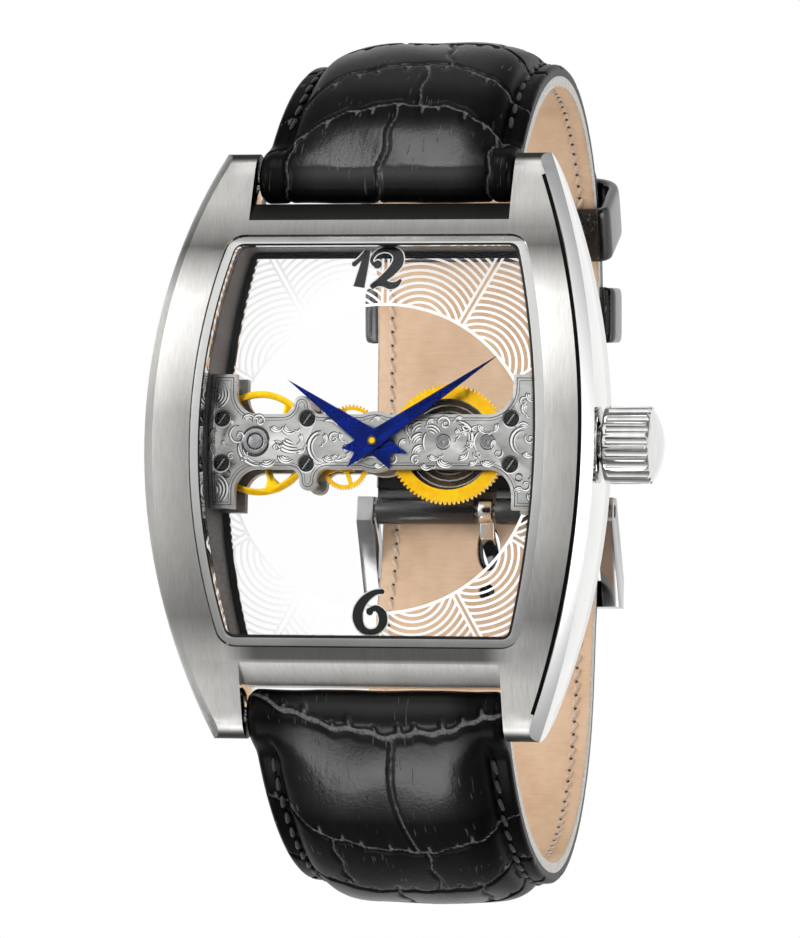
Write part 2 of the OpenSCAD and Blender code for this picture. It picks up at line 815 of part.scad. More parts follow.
module bridge_jewels() {
    color("crimson") {
        at(barrel_p)
            ring_block(jewel_r, 0.2, bridge_z, bridge_top - 0.05);
        at(crown_wheel_p)
            ring_block(jewel_r, 0.2, bridge_z, bridge_top - 0.05);
    }
}

module plate_jewels() {
    color("crimson")
        for (p = [hub, barrel_p, third_p, fourth_p, escape_p, pallet_p, balance_p])
            at(p)
                ring_block(0.35, pivot_r + run, train_z - 0.5, train_z);
}

module shock_setting() {
    color("dimgray")
        at(balance_p) {
            ring_block(shock_r, 0.72, bridge_z, bridge_top + 0.1);
            ring_block(0.72, pivot_r + run, bridge_z, bridge_z + 0.3);
            disc(0.6, bridge_z + 0.42, bridge_top);
            for (a = [30, 150, 270])
                rotate(a)
                    translate([0.5, -0.08, bridge_z + 0.5])
                        cube([0.3, 0.16, 0.2]);
            ring_block(0.72, 0.5, bridge_z + 0.3, bridge_z + 0.42);
        }
}

// A flat spiral ribbon, one piece from its inner to its outer end
module spiral(r0, r1, n, t, h) {
    inner = spiral_side(r0, r1, n, spiral_k, -t / 2);
    outer = spiral_side(r0, r1, n, spiral_k, t / 2);
    linear_extrude(height = h)
        polygon(concat(inner, [for (i = [len(outer) - 1 : -1 : 0]) outer[i]]));
}

module mainspring() {
    color("slategray")
        at(barrel_p, drum_z + 0.3)
            spiral(main_r0, main_r1, mainspring_turns, mainspring_t, drum_h - 0.4);
}

module hairspring() {
    color("steelblue")
        at(balance_p, hairspring_z)
            rotate(180)
                spiral(hair_r0, hair_r1, hairspring_turns, hairspring_t, 0.16);
}

module hairspring_stud() {
    color("silver")
        at(balance_p) {
            translate([-hair_r1 - 0.2, 0, 0])
                disc(0.16, train_z, hairspring_z + 0.16);
        }
}

// Winding work
module click() {
    color("silver")
        difference() {
            union() {
                at(click_p)
                    disc(0.42, ratchet_z, ratchet_z + ratchet_t);
                translate([0, 0, ratchet_z])
                    linear_extrude(height = ratchet_t)
                        polygon([click_p + [0.1, 0.3], click_tip + [-0.25, 0.22], click_tip + [-0.1, -0.1],
                                 click_p + [0.1, -0.34]]);
            }
            at(click_p)
                disc(0.2 + run, 0, far);
        }
}

module click_spring() {
    color("slategray")
        translate([0, 0, ratchet_z])
            linear_extrude(height = ratchet_t)
                translate([click_p[0] - 2, click_p[1] - 0.63])
                    square([2.4, 0.14]);
    color("slategray")
        translate([click_p[0] - 2, click_p[1] - 0.69, ratchet_z])
            cube([0.3, 0.2, bridge_z - ratchet_z]);
}

module barrel_drum() {
    color("goldenrod")
        at(barrel_p)
            difference() {
                disc(drum_r, drum_z, cover_z);
                disc(drum_r - drum_wall, drum_z + 0.25, cover_z + 1);
                disc(barrel_arbor_r + run, 0, far);
            }
}

module barrel_cover() {
    color("gold")
        at(barrel_p)
            translate([0, 0, cover_z])
                linear_extrude(height = cover_t)
                    difference() {
                        gear(barrel_teeth, barrel_m, barrel_phase);
                        spoke_windows(barrel_r - 1.15, 1.9, 2, 1.1, 0);
                        circle(r = barrel_arbor_r + run);
                    }
}

module barrel_arbor() {
    color("silver")
        at(barrel_p) {
            disc(pivot_r, train_z - 0.45, drum_z);
            disc(barrel_arbor_r, drum_z - 0.1, ratchet_z);
            disc(arbor_core_r, drum_z + 0.3, cover_z - 0.05);
            disc(0.18, ratchet_z, bridge_top - 0.15);
        }
}

module ratchet_wheel() {
    color("silver")
        at(barrel_p, ratchet_z)
            linear_extrude(height = ratchet_t)
                difference() {
                    gear(ratchet_teeth, ratchet_m, ratchet_phase);
                    circle(r = 0.18);
                }
}

module crown_wheel() {
    color("silver")
        at(crown_wheel_p) {
            translate([0, 0, ratchet_z])
                linear_extrude(height = ratchet_t)
                    gear(crown_teeth, ratchet_m, 0);
            disc(0.18, ratchet_z, bridge_top - 0.15);
            for (i = [0 : face_teeth - 1])
                rotate((i + 0.5) * 360 / face_teeth)
                    translate([face_r - 0.2, -0.07, ratchet_z - 0.24])
                        cube([0.33, 0.14, 0.3]);
        }
}

// Hands and their wheels
module centre_wheel() {
    train_wheel(centre_teeth, centre_m, 0, centre_wheel_z, centre_leaves, barrel_m, 0,
                cover_z - 0.1, cover_z + cover_t + 0.1, train_z, minute_hand_z);
}

module cannon_pinion() {
    color("silver") {
        ring_block(pipe_r, arbor_r, motion_z - 0.05, minute_hand_z - 0.15);
        difference() {
            disc(pipe_r, minute_hand_z - 0.15, minute_hand_z + hand_t + 0.12);
            disc(arbor_r, 0, minute_hand_z + 0.2);
        }
        translate([0, 0, motion_z])
            linear_extrude(height = 0.2)
                difference() {
                    gear(cannon_teeth, cannon_m, 0);
                    circle(r = arbor_r);
                }
    }
}

// A tapered hand with a flared, notched tail, pointing along +X
module hand(length, half_w, hole) {
    color("mediumblue")
        linear_extrude(height = hand_t)
            difference() {
                polygon([[length, 0], [0.55, half_w], [-tail_len + 0.35, half_w * 1.25], [-tail_len + 1.1, 0],
                         [-tail_len - 0.1, -half_w * 0.9], [0.2, -half_w]]);
                circle(r = hole);
            }
}

module minute_hand() {
    translate([0, 0, minute_hand_z])
        rotate(minute_a)
            hand(minute_len, minute_w, pipe_r);
}

module hour_hand() {
    translate([0, 0, hour_hand_z])
        rotate(hour_a)
            hand(hour_len, hour_w, hour_pipe_r);
}

module minute_wheel() {
    color("gold")
        at(minute_wheel_p) {
            translate([0, 0, motion_z])
                linear_extrude(height = 0.18)
                    difference() {
                        gear(minute_teeth, cannon_m, minute_wheel_phase);
                        circle(r = 0.14 + run);
                    }
            translate([0, 0, motion_z + 0.18])
                linear_extrude(height = 0.32)
                    difference() {
                        gear(minute_leaves, hour_m, 0);
                        circle(r = 0.14 + run);
                    }
        }
}

module hour_wheel() {
    color("gold") {
        translate([0, 0, hour_wheel_z])
            linear_extrude(height = 0.18)
                difference() {
                    gear(hour_teeth, hour_m, hour_phase);
                    circle(r = hour_bore_r);
                }
        ring_block(hour_pipe_r, hour_bore_r, hour_wheel_z + 0.18, hour_hand_z + hand_t);
    }
}

module third_wheel() {
    at(third_p)
        train_wheel(third_teeth, third_m, 0, third_wheel_z, third_leaves, centre_m, third_pinion_phase,
                    centre_wheel_z - 0.05, centre_wheel_z + wheel_t + 0.05, train_z, bridge_z);
}

module fourth_wheel() {
    at(fourth_p)
        train_wheel(fourth_teeth, fourth_m, 0, fourth_wheel_z, fourth_leaves, third_m, fourth_pinion_phase,
                    third_wheel_z - 0.1, third_wheel_z + wheel_t + 0.1, train_z, bridge_z);
}

module escape_wheel() {
    color("silver")
        at(escape_p) {
            translate([0, 0, escape_wheel_z])
                linear_extrude(height = wheel_t)
                    difference() {
                        union() {
                            circle(r = 1.12);
                            for (i = [0 : escape_teeth - 1])
                                rotate(i * 360 / escape_teeth)
                                    polygon([[1.05, -0.12], [1.05, 0.2], [escape_r - 0.04, 0.28], [escape_r - 0.01, 0.12],
                                             [1.24, 0.02]]);
                        }
                        spoke_windows(0.92, 0.42, 4, 0.22);
                        circle(r = arbor_r);
                    }
            translate([0, 0, fourth_wheel_z - 0.1])
                linear_extrude(height = wheel_t + 0.2)
                    gear(escape_leaves, fourth_m, escape_pinion_phase);
            disc(arbor_r, train_z + 0.15, bridge_z - 0.15);
            disc(pivot_r, train_z - 0.2, bridge_z + 0.2);
        }
}

// Local frame of the pallets: origin at their axis, +X to the balance
module pallet_frame() {
    at(pallet_p)
        rotate(pallet_a)
            children();
}

module pallet_fork() {
    color("silver")
        pallet_frame() {
            translate([0, 0, escape_wheel_z])
                linear_extrude(height = wheel_t)
                    union() {
                        circle(r = 0.34);
                        translate([0, -0.13])
                            square([pallet_len - 0.3, 0.26]);
                        for (s = [-1, 1]) {
                            polygon([[pallet_len - 0.5, 0], [pallet_len - 0.1, s * 0.36], [pallet_len + 0.3, s * 0.36],
                                     [pallet_len + 0.3, s * 0.16], [pallet_len - 0.05, s * 0.14]]);
                            polygon([[0.2, s * 0.1], [0.05, s * 0.3], [-0.28, s * 1.0], [-0.44, s * 0.94],
                                     [-0.17, s * 0.1]]);
                        }
                    }
            disc(0.14, train_z + 0.15, escape_wheel_z + wheel_t + 0.1);
            disc(pivot_r, train_z - 0.2, train_z + 0.2);
        }
}

module pallet_stones() {
    color("crimson")
        pallet_frame()
            for (s = [-1, 1])
                translate([-0.37, s * 0.93, escape_wheel_z + wheel_t])
                    rotate(s * 20)
                        translate([-0.12, -0.08, 0])
                            cube([0.24, 0.16, 0.12]);
}

module balance_wheel() {
    color("gold")
        at(balance_p) {
            ring_block(balance_r, balance_r - balance_rim_w, balance_rim_z, balance_rim_z + balance_rim_h);
            translate([0, 0, balance_arm_z])
                linear_extrude(height = 0.22)
                    difference() {
                        union() {
                            circle(r = 0.75);
                            for (i = [0 : 2])
                                rotate(-72 + i * 120)
                                    polygon([[0, -0.28], [balance_r - 1.3, -0.28], [balance_r - 0.5, -0.75],
                                             [balance_r - 0.5, 0.75], [balance_r - 1.3, 0.28], [0, 0.28]]);
                        }
                        circle(r = staff_r);
                    }
        }
}

module balance_staff() {
    color("silver")
        at(balance_p) {
            disc(pivot_r, train_z - 0.3, bridge_z + 0.28);
            disc(staff_r, train_z + 0.15, bridge_z - 0.1);
            ring_block(0.36, staff_r, hairspring_z - 0.02, hairspring_z + 0.2);
        }
}

module roller() {
    color("silver")
        at(balance_p) {
            ring_block(0.62, staff_r, roller_z - 0.35, roller_z - 0.1);
            rotate(pallet_a + 180 + 100)
                translate([0.5, 0, 0])
                    disc(0.07, roller_z - 0.1, roller_z + 0.25);
        }
}

// Crown and stem
module on_stem(x) {
    translate([x, 0, stem_z])
        rotate([0, 90, 0])
            children();
}

module crown() {
    color("silver")
        on_stem(crown_x)
            difference() {
                rotate_extrude($fn = 96)
                    crown_profile();
                for (i = [0 : crown_flutes - 1])
                    rotate(i * 360 / crown_flutes)
                        translate([crown_r + 0.1, 0, 0.35])
                            cylinder(r = flute_r, h = crown_len);
                disc(crown_cavity_r, -1, crown_cavity_l);
                disc(stem_r, 0, crown_cavity_l + 0.8);
            }
}

module crown_profile() {
    dome_r = (pow(crown_r, 2) + pow(crown_dome, 2)) / (2 * crown_dome);
    intersection() {
        square([crown_r, crown_len]);
        translate([0, crown_len - dome_r])
            circle(r = dome_r, $fn = arc_fn);
    }
}

module stem() {
    color("silver")
        on_stem(0)
            disc(stem_r - 0.001, pinion_x - 0.05, crown_x + crown_cavity_l + 0.8);
}

module winding_pinion() {
    color("silver")
        on_stem(pinion_x - 0.05)
            linear_extrude(height = 0.2)
                difference() {
                    gear(pinion_teeth, 2 * pinion_r / pinion_teeth, 0, 0.55);
                    circle(r = stem_r);
                }
}

module crown_gasket() {
    color("black")
        on_stem(crown_x + 0.6)
            ring_block(crown_cavity_r - run, tube_r + 0.03, 0, 0.5);
}

// Strap: sections along the path, joined into one skin
function skin_faces(rings, n) = concat(
    [[for (j = [0 : n - 1]) j]],
    [for (i = [0 : rings - 2]) for (j = [0 : n - 1]) let(a = i * n + j, b = i * n + (j + 1) % n)
        each [[a, a + n, b], [b, a + n, b + n]]],
    [[for (j = [n - 1 : -1 : 0]) (rings - 1) * n + j]]);

// Domed section: half width w, from depth d0, thickness t, thin stitched edges and a padded middle
function dome_section(w, d0, t) = let(e = min(t, 1.55 + 0.1 * t), m = w - 1.9)
    [[-w, d0], [w, d0], [w, e - 0.25], [w - 0.25, e], [m, e + 0.12], [m * 0.8, e + (t - e) * 0.62],
     [m * 0.5, e + (t - e) * 0.9], [0, t], [-m * 0.5, e + (t - e) * 0.9], [-m * 0.8, e + (t - e) * 0.62],
     [-m, e + 0.12], [-w + 0.25, e], [-w, e - 0.25]];
function flat_section(w, d0, d1) = [[-w, d0], [w, d0], [w, d1], [-w, d1]];
function place_section(points, s, shift) = [for (p = points) let(q = loop_point(s, p[1] + shift)) [p[0], q[0], q[1]]];

module skin(rings, n) {
    polyhedron(points = [for (r = rings) each r], faces = skin_faces(len(rings), n), convexity = 6);
}

strap_steps = 34;
bar_start = bar_s - 0.6;
function stations(s0, s1, count) = [for (i = [0 : count]) s0 + (s1 - s0) * i / count];
stations_12 = stations(hinge_y + 0.3, bar_start, strap_steps);
stations_6 = stations(-bar_start, tail_past, 2 * strap_steps);

module bar_eye(s, side_w) {
    translate([0, s * lug_bar_y, lug_bar_z])
        rotate([0, 90, 0])
            cylinder(r = eye_r, h = side_w, center = true);
}

module bar_bore(s) {
    translate([0, s * lug_bar_y, lug_bar_z])
        rotate([0, 90, 0])
            cylinder(r = spring_bar_r + 0.03, h = far, center = true);
}

module hinge_cylinder(r, length) {
    translate([0, hinge_p[0], hinge_p[1]])
        rotate([0, 90, 0])
            cylinder(r = r, h = length, center = true);
}

module strap_12() {
    color("black")
        difference() {
            union() {
                skin([for (s = stations_12)
                    place_section(dome_section(leather_w(s) / 2, lining_t, leather_t(s)), s, 0)], 13);
                bar_eye(1, strap_w);
                hinge_cylinder(hinge_eye_r, strap_end_w);
            }
            bar_bore(1);
            hinge_cylinder(hinge_bar_r + 0.04, far);
            // slot for the tongue
            translate([-tongue_w / 2 - 0.35, hinge_y - 3, loop_bottom_z - 5])
                cube([tongue_w + 0.7, 5.4, 6]);
        }
}

module strap_12_lining() {
    color("tan")
        skin([for (s = stations_12) if (s > hinge_y + 3.2 && s < bar_start - 3)
            place_section(flat_section(leather_w(s) / 2, 0, lining_t), s, 0)], 4);
}

module strap_6() {
    color("black")
        difference() {
            union() {
                skin([for (s = stations_6)
                    place_section(dome_section(tail_width(s) / 2, lining_t, leather_t(s)), s, outer_layer(s))], 13);
                bar_eye(-1, strap_w);
            }
            bar_bore(-1);
            strap_holes();
        }
}

module strap_holes() {
    // the tongue's hole is drawn out along the strap, the free one is round
    for (dy = [-slot_half, slot_half])
        hole_cutter(hole_y + dy, slot_r);
    translate([-slot_r, hole_y - slot_half, loop_bottom_z - 8])
        cube([2 * slot_r, 2 * slot_half, 9]);
    hole_cutter(hole_y - hole_pitch, hole_r);
}

module hole_cutter(y, r) {
    translate([0, y, loop_bottom_z - 8])
        cylinder(r = r, h = 9);
}

module strap_6_lining() {
    color("tan")
        difference() {
            skin([for (s = stations_6) if (s > -bar_start + 3)
                place_section(flat_section(tail_width(s) / 2, 0, lining_t), s, outer_layer(s))], 4);
            strap_holes();
        }
}

// Keeper: a closed band round both layers, at the distance s along the strap
module keeper(s) {
    a = half_turn(s);
    p = half_point(s);
    stack = leather_t(s + keeper_len / 2) * 2 + layer_gap + loose;
    inner_w = leather_w(s) / 2 + loose;
    color("black")
        translate([0, p[0], p[1]])
            rotate([a + 90, 0, 0])
                rotate([90, 0, 0])
                    linear_extrude(height = keeper_len, center = true)
                        difference() {
                            translate([-inner_w - keeper_wall, -stack - keeper_wall])
                                square([2 * (inner_w + keeper_wall), stack + loose + 2 * keeper_wall]);
                            translate([-inner_w, -stack])
                                square([2 * inner_w, stack + loose]);
                        }
}

module keeper_fixed() {
    keeper(keeper_fixed_s);
}

module keeper_free() {
    keeper(keeper_free_s);
}

// Buckle: two arms from the hinge bar, and a far bar over the outer layer
module buckle_frame() {
    arm_x = buckle_in + arm_w / 2;
    color("silver")
        difference() {
            union() {
                for (s = [-1, 1])
                    translate([s * arm_x, 0, 0])
                        along_x(arm_w)
                            polygon([[hinge_p[0] + 1.2, hinge_p[1] + 0.9], [hinge_p[0] + 1.3, hinge_p[1] - 0.8],
                                     [far_y + 1.4, rest_z], [far_y - far_bar_w / 2, rest_z],
                                     [far_y - far_bar_w / 2, rest_z + 2.2], [hinge_p[0] - 1, hinge_p[1] + 1.3]]);
                translate([-arm_x, far_y - far_bar_w / 2, rest_z])
                    cube([2 * arm_x, far_bar_w, far_in_z - rest_z]);
            }
            hinge_cylinder(hinge_bar_r + 0.02, far);
            // seat for the tongue's tip
            translate([-tongue_w / 2 - 0.15, far_y - 3, rest_z - 1])
                cube([tongue_w + 0.3, 6, 2.0]);
        }
}

module buckle_bar() {
    color("silver")
        hinge_cylinder(hinge_bar_r, 2 * (buckle_in + arm_w) - 0.2);
}

// Corner of a bent strip of half thickness h that turns outward by the angle a
function mitre(p, a, h) = p + h / cos(a / 2) * [-sin(a / 2), cos(a / 2)];

// The tongue runs along the inner side, turns out through the hole and lies in the far bar's seat
module buckle_tongue() {
    h = tongue_t / 2;
    enter = [hinge_y - 2.3, loop_bottom_z - layer_step + 0.5];
    leave = [far_y + 2.7, rest_z + 0.12 + h];
    turn = atan2(enter[1] - leave[1], enter[0] - leave[0]);
    tip_y = far_y - far_bar_w / 2 - 0.1;
    color("silver")
        difference() {
            union() {
                hinge_cylinder(hinge_bar_r + 0.5, tongue_w);
                along_x(tongue_w)
                    polygon([hinge_p - [0, h], hinge_p + [0, h], mitre(enter, turn, h), mitre(leave, turn, h),
                             [tip_y, leave[1] + h * 0.6], [tip_y, leave[1] - h], mitre(leave, turn, -h),
                             mitre(enter, turn, -h)]);
            }
            hinge_cylinder(hinge_bar_r + 0.03, far);
        }
}

module spring_bar(s) {
    color("silver")
        translate([0, s * lug_bar_y, lug_bar_z])
            rotate([0, 90, 0]) {
                cylinder(r = spring_bar_r, h = strap_w, center = true);
                cylinder(r = spring_pivot_r, h = lug_gap + 2 * spring_pivot_l, center = true);
            }
}

module spring_bar_12() {
    spring_bar(1);
}

module spring_bar_6() {
    spring_bar(-1);
}

mid_case();
crystal_ring();
front_crystal();
crystal_gasket();
movement_holder();
back_frame();
back_crystal();
back_gasket();
back_screws();
dial_glass();
crown_tube();
main_plate();
train_bridge();
bridge_screws();
bridge_jewels();
plate_jewels();
shock_setting();
hairspring();
hairspring_stud();
click();
click_spring();
barrel_drum();
barrel_cover();
mainspring();
barrel_arbor();
ratchet_wheel();
crown_wheel();
centre_wheel();
cannon_pinion();
minute_hand();
minute_wheel();
hour_wheel();
hour_hand();
third_wheel();
fourth_wheel();
escape_wheel();
pallet_fork();
pallet_stones();
balance_wheel();
balance_staff();
roller();
crown();
stem();
winding_pinion();
crown_gasket();
strap_12();
strap_12_lining();
strap_6();
strap_6_lining();
keeper_fixed();
keeper_free();
buckle_frame();
buckle_bar();
buckle_tongue();
spring_bar_12();
spring_bar_6();
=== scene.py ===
"""Mechanical wristwatch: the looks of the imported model, laid out as an add-on and run as a script."""

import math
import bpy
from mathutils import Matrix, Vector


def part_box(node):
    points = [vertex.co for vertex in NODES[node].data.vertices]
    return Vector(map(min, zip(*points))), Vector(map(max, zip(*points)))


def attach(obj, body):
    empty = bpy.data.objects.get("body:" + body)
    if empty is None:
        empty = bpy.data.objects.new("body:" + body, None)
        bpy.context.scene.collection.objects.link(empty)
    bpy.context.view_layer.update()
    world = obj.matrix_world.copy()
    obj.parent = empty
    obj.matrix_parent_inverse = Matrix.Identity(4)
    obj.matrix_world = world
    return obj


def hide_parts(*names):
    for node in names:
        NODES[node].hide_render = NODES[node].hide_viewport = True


bl_info = {
    "name": "Bar Movement Wristwatch",
    "version": (1, 0, 0),
    "blender": (4, 5, 0),
    "location": "View3D > Sidebar > Watch",
    "description": "Dresses a tonneau wristwatch with an engraved bar movement and a padded leather strap",
    "category": "Object",
}

import bmesh
import bpy
from bpy.props import FloatProperty, IntProperty, PointerProperty, StringProperty
from mathutils import Matrix, Vector

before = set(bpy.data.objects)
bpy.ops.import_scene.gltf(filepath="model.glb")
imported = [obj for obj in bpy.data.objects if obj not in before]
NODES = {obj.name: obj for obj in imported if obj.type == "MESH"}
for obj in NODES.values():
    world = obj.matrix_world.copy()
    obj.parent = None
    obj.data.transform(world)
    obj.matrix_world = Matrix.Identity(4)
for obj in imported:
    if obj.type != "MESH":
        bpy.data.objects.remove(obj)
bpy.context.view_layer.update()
MM = 0.001

# The strap's path, as in the solid model, in millimetres
LOOP_FLAT = 14.0
LOOP_LOW_Z = -41.5
LOOP_HALF = 33.8
ARC_R = LOOP_HALF - LOOP_FLAT
ARC_CENTRE = (LOOP_FLAT, LOOP_LOW_Z + ARC_R)
BAR_Y, BAR_Z, EYE_R = 22.5, 3.21, 1.9
BAR_DY, BAR_DZ = BAR_Y - LOOP_HALF, BAR_Z - ARC_CENTRE[1]
TOP_R = (BAR_DY**2 + BAR_DZ**2 - EYE_R**2) / (2 * (EYE_R - BAR_DY))
TOP_CENTRE = (LOOP_HALF - TOP_R, ARC_CENTRE[1])
BAR_TURN = math.atan2(BAR_DZ, BAR_Y - TOP_CENTRE[0])
ARC_LENGTH = ARC_R * math.pi / 2
BAR_S = LOOP_FLAT + ARC_LENGTH + TOP_R * BAR_TURN
STRAP_W, STRAP_END_W = 21.8, 20.0
STRAP_T, STRAP_END_T = 4.1, 2.3
LINING_T, LAYER_GAP = 0.7, 0.3
TAIL_S = 33.0
# Where the tail starts to lift off the lower layer, over what length, and how much narrower it is
LAP_S, LAP_RUN, TAIL_TRIM = 17.0, 13.0, 0.3
# The roll's radius round the spring bar, and how far in from the strap's edge the stitch channel and the seam lie
ROLL_R, CHANNEL_IN, SEAM_IN = 1.95, 1.9, 1.35
# The keepers' thickness and length along the strap
BAND_T, BAND_L = 1.05, 5.0
# The tongue's slot: its middle, stretch, and half width in the leather and, so that the tongue clears it, in the lining
SLOT_Y, SLOT_STRETCH, SLOT_R, LINING_SLOT_R = -4.7, 1.9, 0.95, 1.1
HOLE_Y, HOLE_R = -8.7, 0.75
# Step of the grids of the lining and the painted edge, and the angle that counts as an edge to soften
LINING_STEP = 0.8
EDGE_ANGLE = math.radians(28)
FLOOR_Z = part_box("keeper_fixed")[0].z / MM
FRONT_R = 55.0
FACE_HALF_W, FACE_SIDE_R = 18.2, 60.5
CRYSTAL_LOW_R = FRONT_R - 0.8
FRONT_C = BAR_Z - math.sqrt((FRONT_R - 2.25) ** 2 - BAR_Y**2)
BRIDGE_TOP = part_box("train_bridge")[1].z / MM
CLEAR_R = 12.95
# Painted light and shade of the brushed steel along the case, from its 6 o'clock end (0) to its 12 o'clock end (1)
FACE_PAINTED_SHADING = [(0.08, "#f0efed"), (0.19, "#979694"), (0.33, "#bbbab8"), (0.54, "#b8b7b5"), (0.67, "#f2f1ef"),
              (0.75, "#fcfbf9"), (0.84, "#6e6d6b"), (0.92, "#c4c3c1")]

# The camera of the photograph, in degrees, pixels and millimetres
VIEW_TURN, VIEW_DROP, VIEW_ROLL = 11.8, 5.3, 1.3
PX_PER_MM = 12.0
HUB_PX = (372.7, 440.7)
HUB_Z = 7.5
VIEW_FAR = 550.0
PICTURE = (800, 938)
NUMERAL_Z = 7.86

# The dial print: its centre, how far out the middle of a fan's arcs lies, their pitch and the white share of it, the
# lines beside each seam, the ring round the clear disc, and the black border
PRINT_CENTRE = (-0.5, -0.9)
FAN_R = 11.35
ARC_PITCH, ARC_SHARE = 0.545, 0.37
SEAM_NEAR, SEAM_FAR, RING_W = 0.14, 0.34, 0.24
WINDOW_HALF_W, WINDOW_HALF_H, WINDOW_SIDE_R = 14.3, 16.55, 61.2
BORDER = 0.5


def linear(hexa):
    """An sRGB colour such as '#0b0a0a' as linear RGBA."""
    parts = [int(hexa[i : i + 2], 16) / 255 for i in (1, 3, 5)]
    return tuple(c / 12.92 if c <= 0.04045 else ((c + 0.055) / 1.055) ** 2.4 for c in parts) + (1.0,)


def node(tree, kind, settings=None, **links):
    """Adds a node; settings are attributes, links are inputs by name with a value or a socket."""
    made = tree.nodes.new("ShaderNode" + kind)
    for key, value in (settings or {}).items():
        setattr(made, key, value)
    for key, value in links.items():
        key = key.replace("_", " ")
        socket = made.inputs[int(key[1:])] if key[0] == "i" and key[1:].isdigit() else made.inputs[key]
        if isinstance(value, bpy.types.NodeSocket):
            tree.links.new(value, socket)
        else:
            socket.default_value = value
    return made


def out(tree, shader):
    node(tree, "OutputMaterial", Surface=shader)


def view_axes():
    """The picture's right and up, and the way towards the camera."""
    turn, drop, roll = (math.radians(angle) for angle in (VIEW_TURN, VIEW_DROP, VIEW_ROLL))
    right = Vector((math.cos(turn), 0, -math.sin(turn)))
    up = Vector((math.sin(turn) * math.sin(drop), math.cos(drop), math.cos(turn) * math.sin(drop)))
    toward = right.cross(up)
    return right * math.cos(roll) + up * math.sin(roll), up * math.cos(roll) - right * math.sin(roll), toward


def from_photo(px, py, z):
    """The place in millimetres, at the height z, of a pixel of the photograph."""
    right, up, toward = view_axes()
    x, y = (px - HUB_PX[0]) / PX_PER_MM, (HUB_PX[1] - py) / PX_PER_MM
    spot = Vector((0, 0, HUB_Z)) + right * x + up * y
    eye = Vector((0, 0, HUB_Z)) + toward * VIEW_FAR
    ray = spot - eye
    at = eye + ray * ((z - eye.z) / ray.z)
    return at.x, at.y


def sums(tree, operation, a, b=0.0, c=0.0):
    """A Math node's output."""
    return node(tree, "Math", {"operation": operation}, i0=a, i1=b, i2=c).outputs[0]


def axes_of(tree, vector):
    return node(tree, "SeparateXYZ", None, Vector=vector).outputs[:3]


def times(tree, first, *factors):
    for factor in factors:
        first = sums(tree, "MULTIPLY", first, factor)
    return first


def highest(tree, first, *values):
    for value in values:
        first = sums(tree, "MAXIMUM", first, value)
    return first


def hypot(tree, a, b):
    return sums(tree, "SQRT", sums(tree, "ADD", times(tree, a, a), times(tree, b, b)))


def mix(tree, share, first, second, blend="MIX"):
    """The first colour, turned into the second (or multiplied by it) as far as share says."""
    return node(tree, "MixRGB", {"blend_type": blend}, Fac=share, Color1=first, Color2=second).outputs[0]


def mix_shaders(tree, share, first, second):
    return node(tree, "MixShader", None, i0=share, i1=first.outputs[0], i2=second.outputs[0])


def ramp(tree, factor, stops):
    """A colour ramp through (place, hex) stops."""
    made = node(tree, "ValToRGB", Fac=factor)
    ends = made.color_ramp.elements
    while len(ends) < len(stops):
        ends.new(0.5)
    for end, (place, hexa) in zip(ends, stops):
        end.position, end.color = place, linear(hexa)
    return made.outputs[0]


def smooth_range(tree, value, low, high, to_low=0.0, to_high=1.0):
    return node(tree, "MapRange", {"interpolation_type": "SMOOTHSTEP"}, Value=value, From_Min=low, From_Max=high,
                To_Min=to_low, To_Max=to_high).outputs[0]


def only(obj):
    """Deselects everything but obj and makes it active."""
    bpy.ops.object.select_all(action="DESELECT")
    obj.select_set(True)
    bpy.context.view_layer.objects.active = obj
    return obj


def wear(obj, finish, body, replaced=()):
    """Gives a new piece its finish and the body it rides on."""
    obj.data.materials.clear()
    obj.data.materials.append(FINISHES[finish])
    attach(obj, body)
    if replaced:
        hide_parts(*replaced)
    return obj


def paint(names, finish):
    """Gives CAD nodes a finish."""
    for name in names.split():
        obj = NODES[name]
        if obj.material_slots:
            for place in obj.material_slots:
                place.material = FINISHES[finish]
        else:
            obj.data.materials.append(FINISHES[finish])


def new_piece(piece, mesh):
    """Links a mesh as an object and makes it active."""
    obj = bpy.data.objects.new(piece, mesh)
    bpy.context.collection.objects.link(obj)
    return only(obj)


def modified(obj, kind, **settings):
    """Puts a modifier on an active object and applies it."""
    made = obj.modifiers.new(kind.lower(), kind)
    for key, value in settings.items():
        setattr(made, key, value)
    bpy.ops.object.modifier_apply(modifier=made.name)


def edited(*steps):
    """Runs mesh operators on the active object, all of it selected; each step is an operator and its settings."""
    bpy.ops.object.mode_set(mode="EDIT")
    bpy.ops.mesh.select_all(action="SELECT")
    for operator, settings in steps:
        operator(**settings)
    bpy.ops.object.mode_set(mode="OBJECT")


def outward(obj):
    """Turns all faces of an object outward."""
    only(obj)
    edited((bpy.ops.mesh.normals_make_consistent, {"inside": False}))


def copy_of(name, piece):
    """A merged copy of a CAD node's mesh as a new piece."""
    obj = new_piece(piece, NODES[name].data.copy())
    edited((bpy.ops.mesh.remove_doubles, {"threshold": 0.0000005}),
           (bpy.ops.mesh.customdata_custom_splitnormals_clear, {}))
    return obj


def top_of(name, piece):
    """A new piece of a CAD node's top faces alone, and its mesh in edit mode."""
    obj = copy_of(name, piece)
    bpy.ops.object.mode_set(mode="EDIT")
    mesh = bmesh.from_edit_mesh(obj.data)
    top = max(v.co.z for v in mesh.verts)
    lower = [f for f in mesh.faces if f.normal.z < 0.9 or f.calc_center_median().z < top - 0.01 * MM]
    bmesh.ops.delete(mesh, geom=lower, context="FACES")
    return obj, mesh


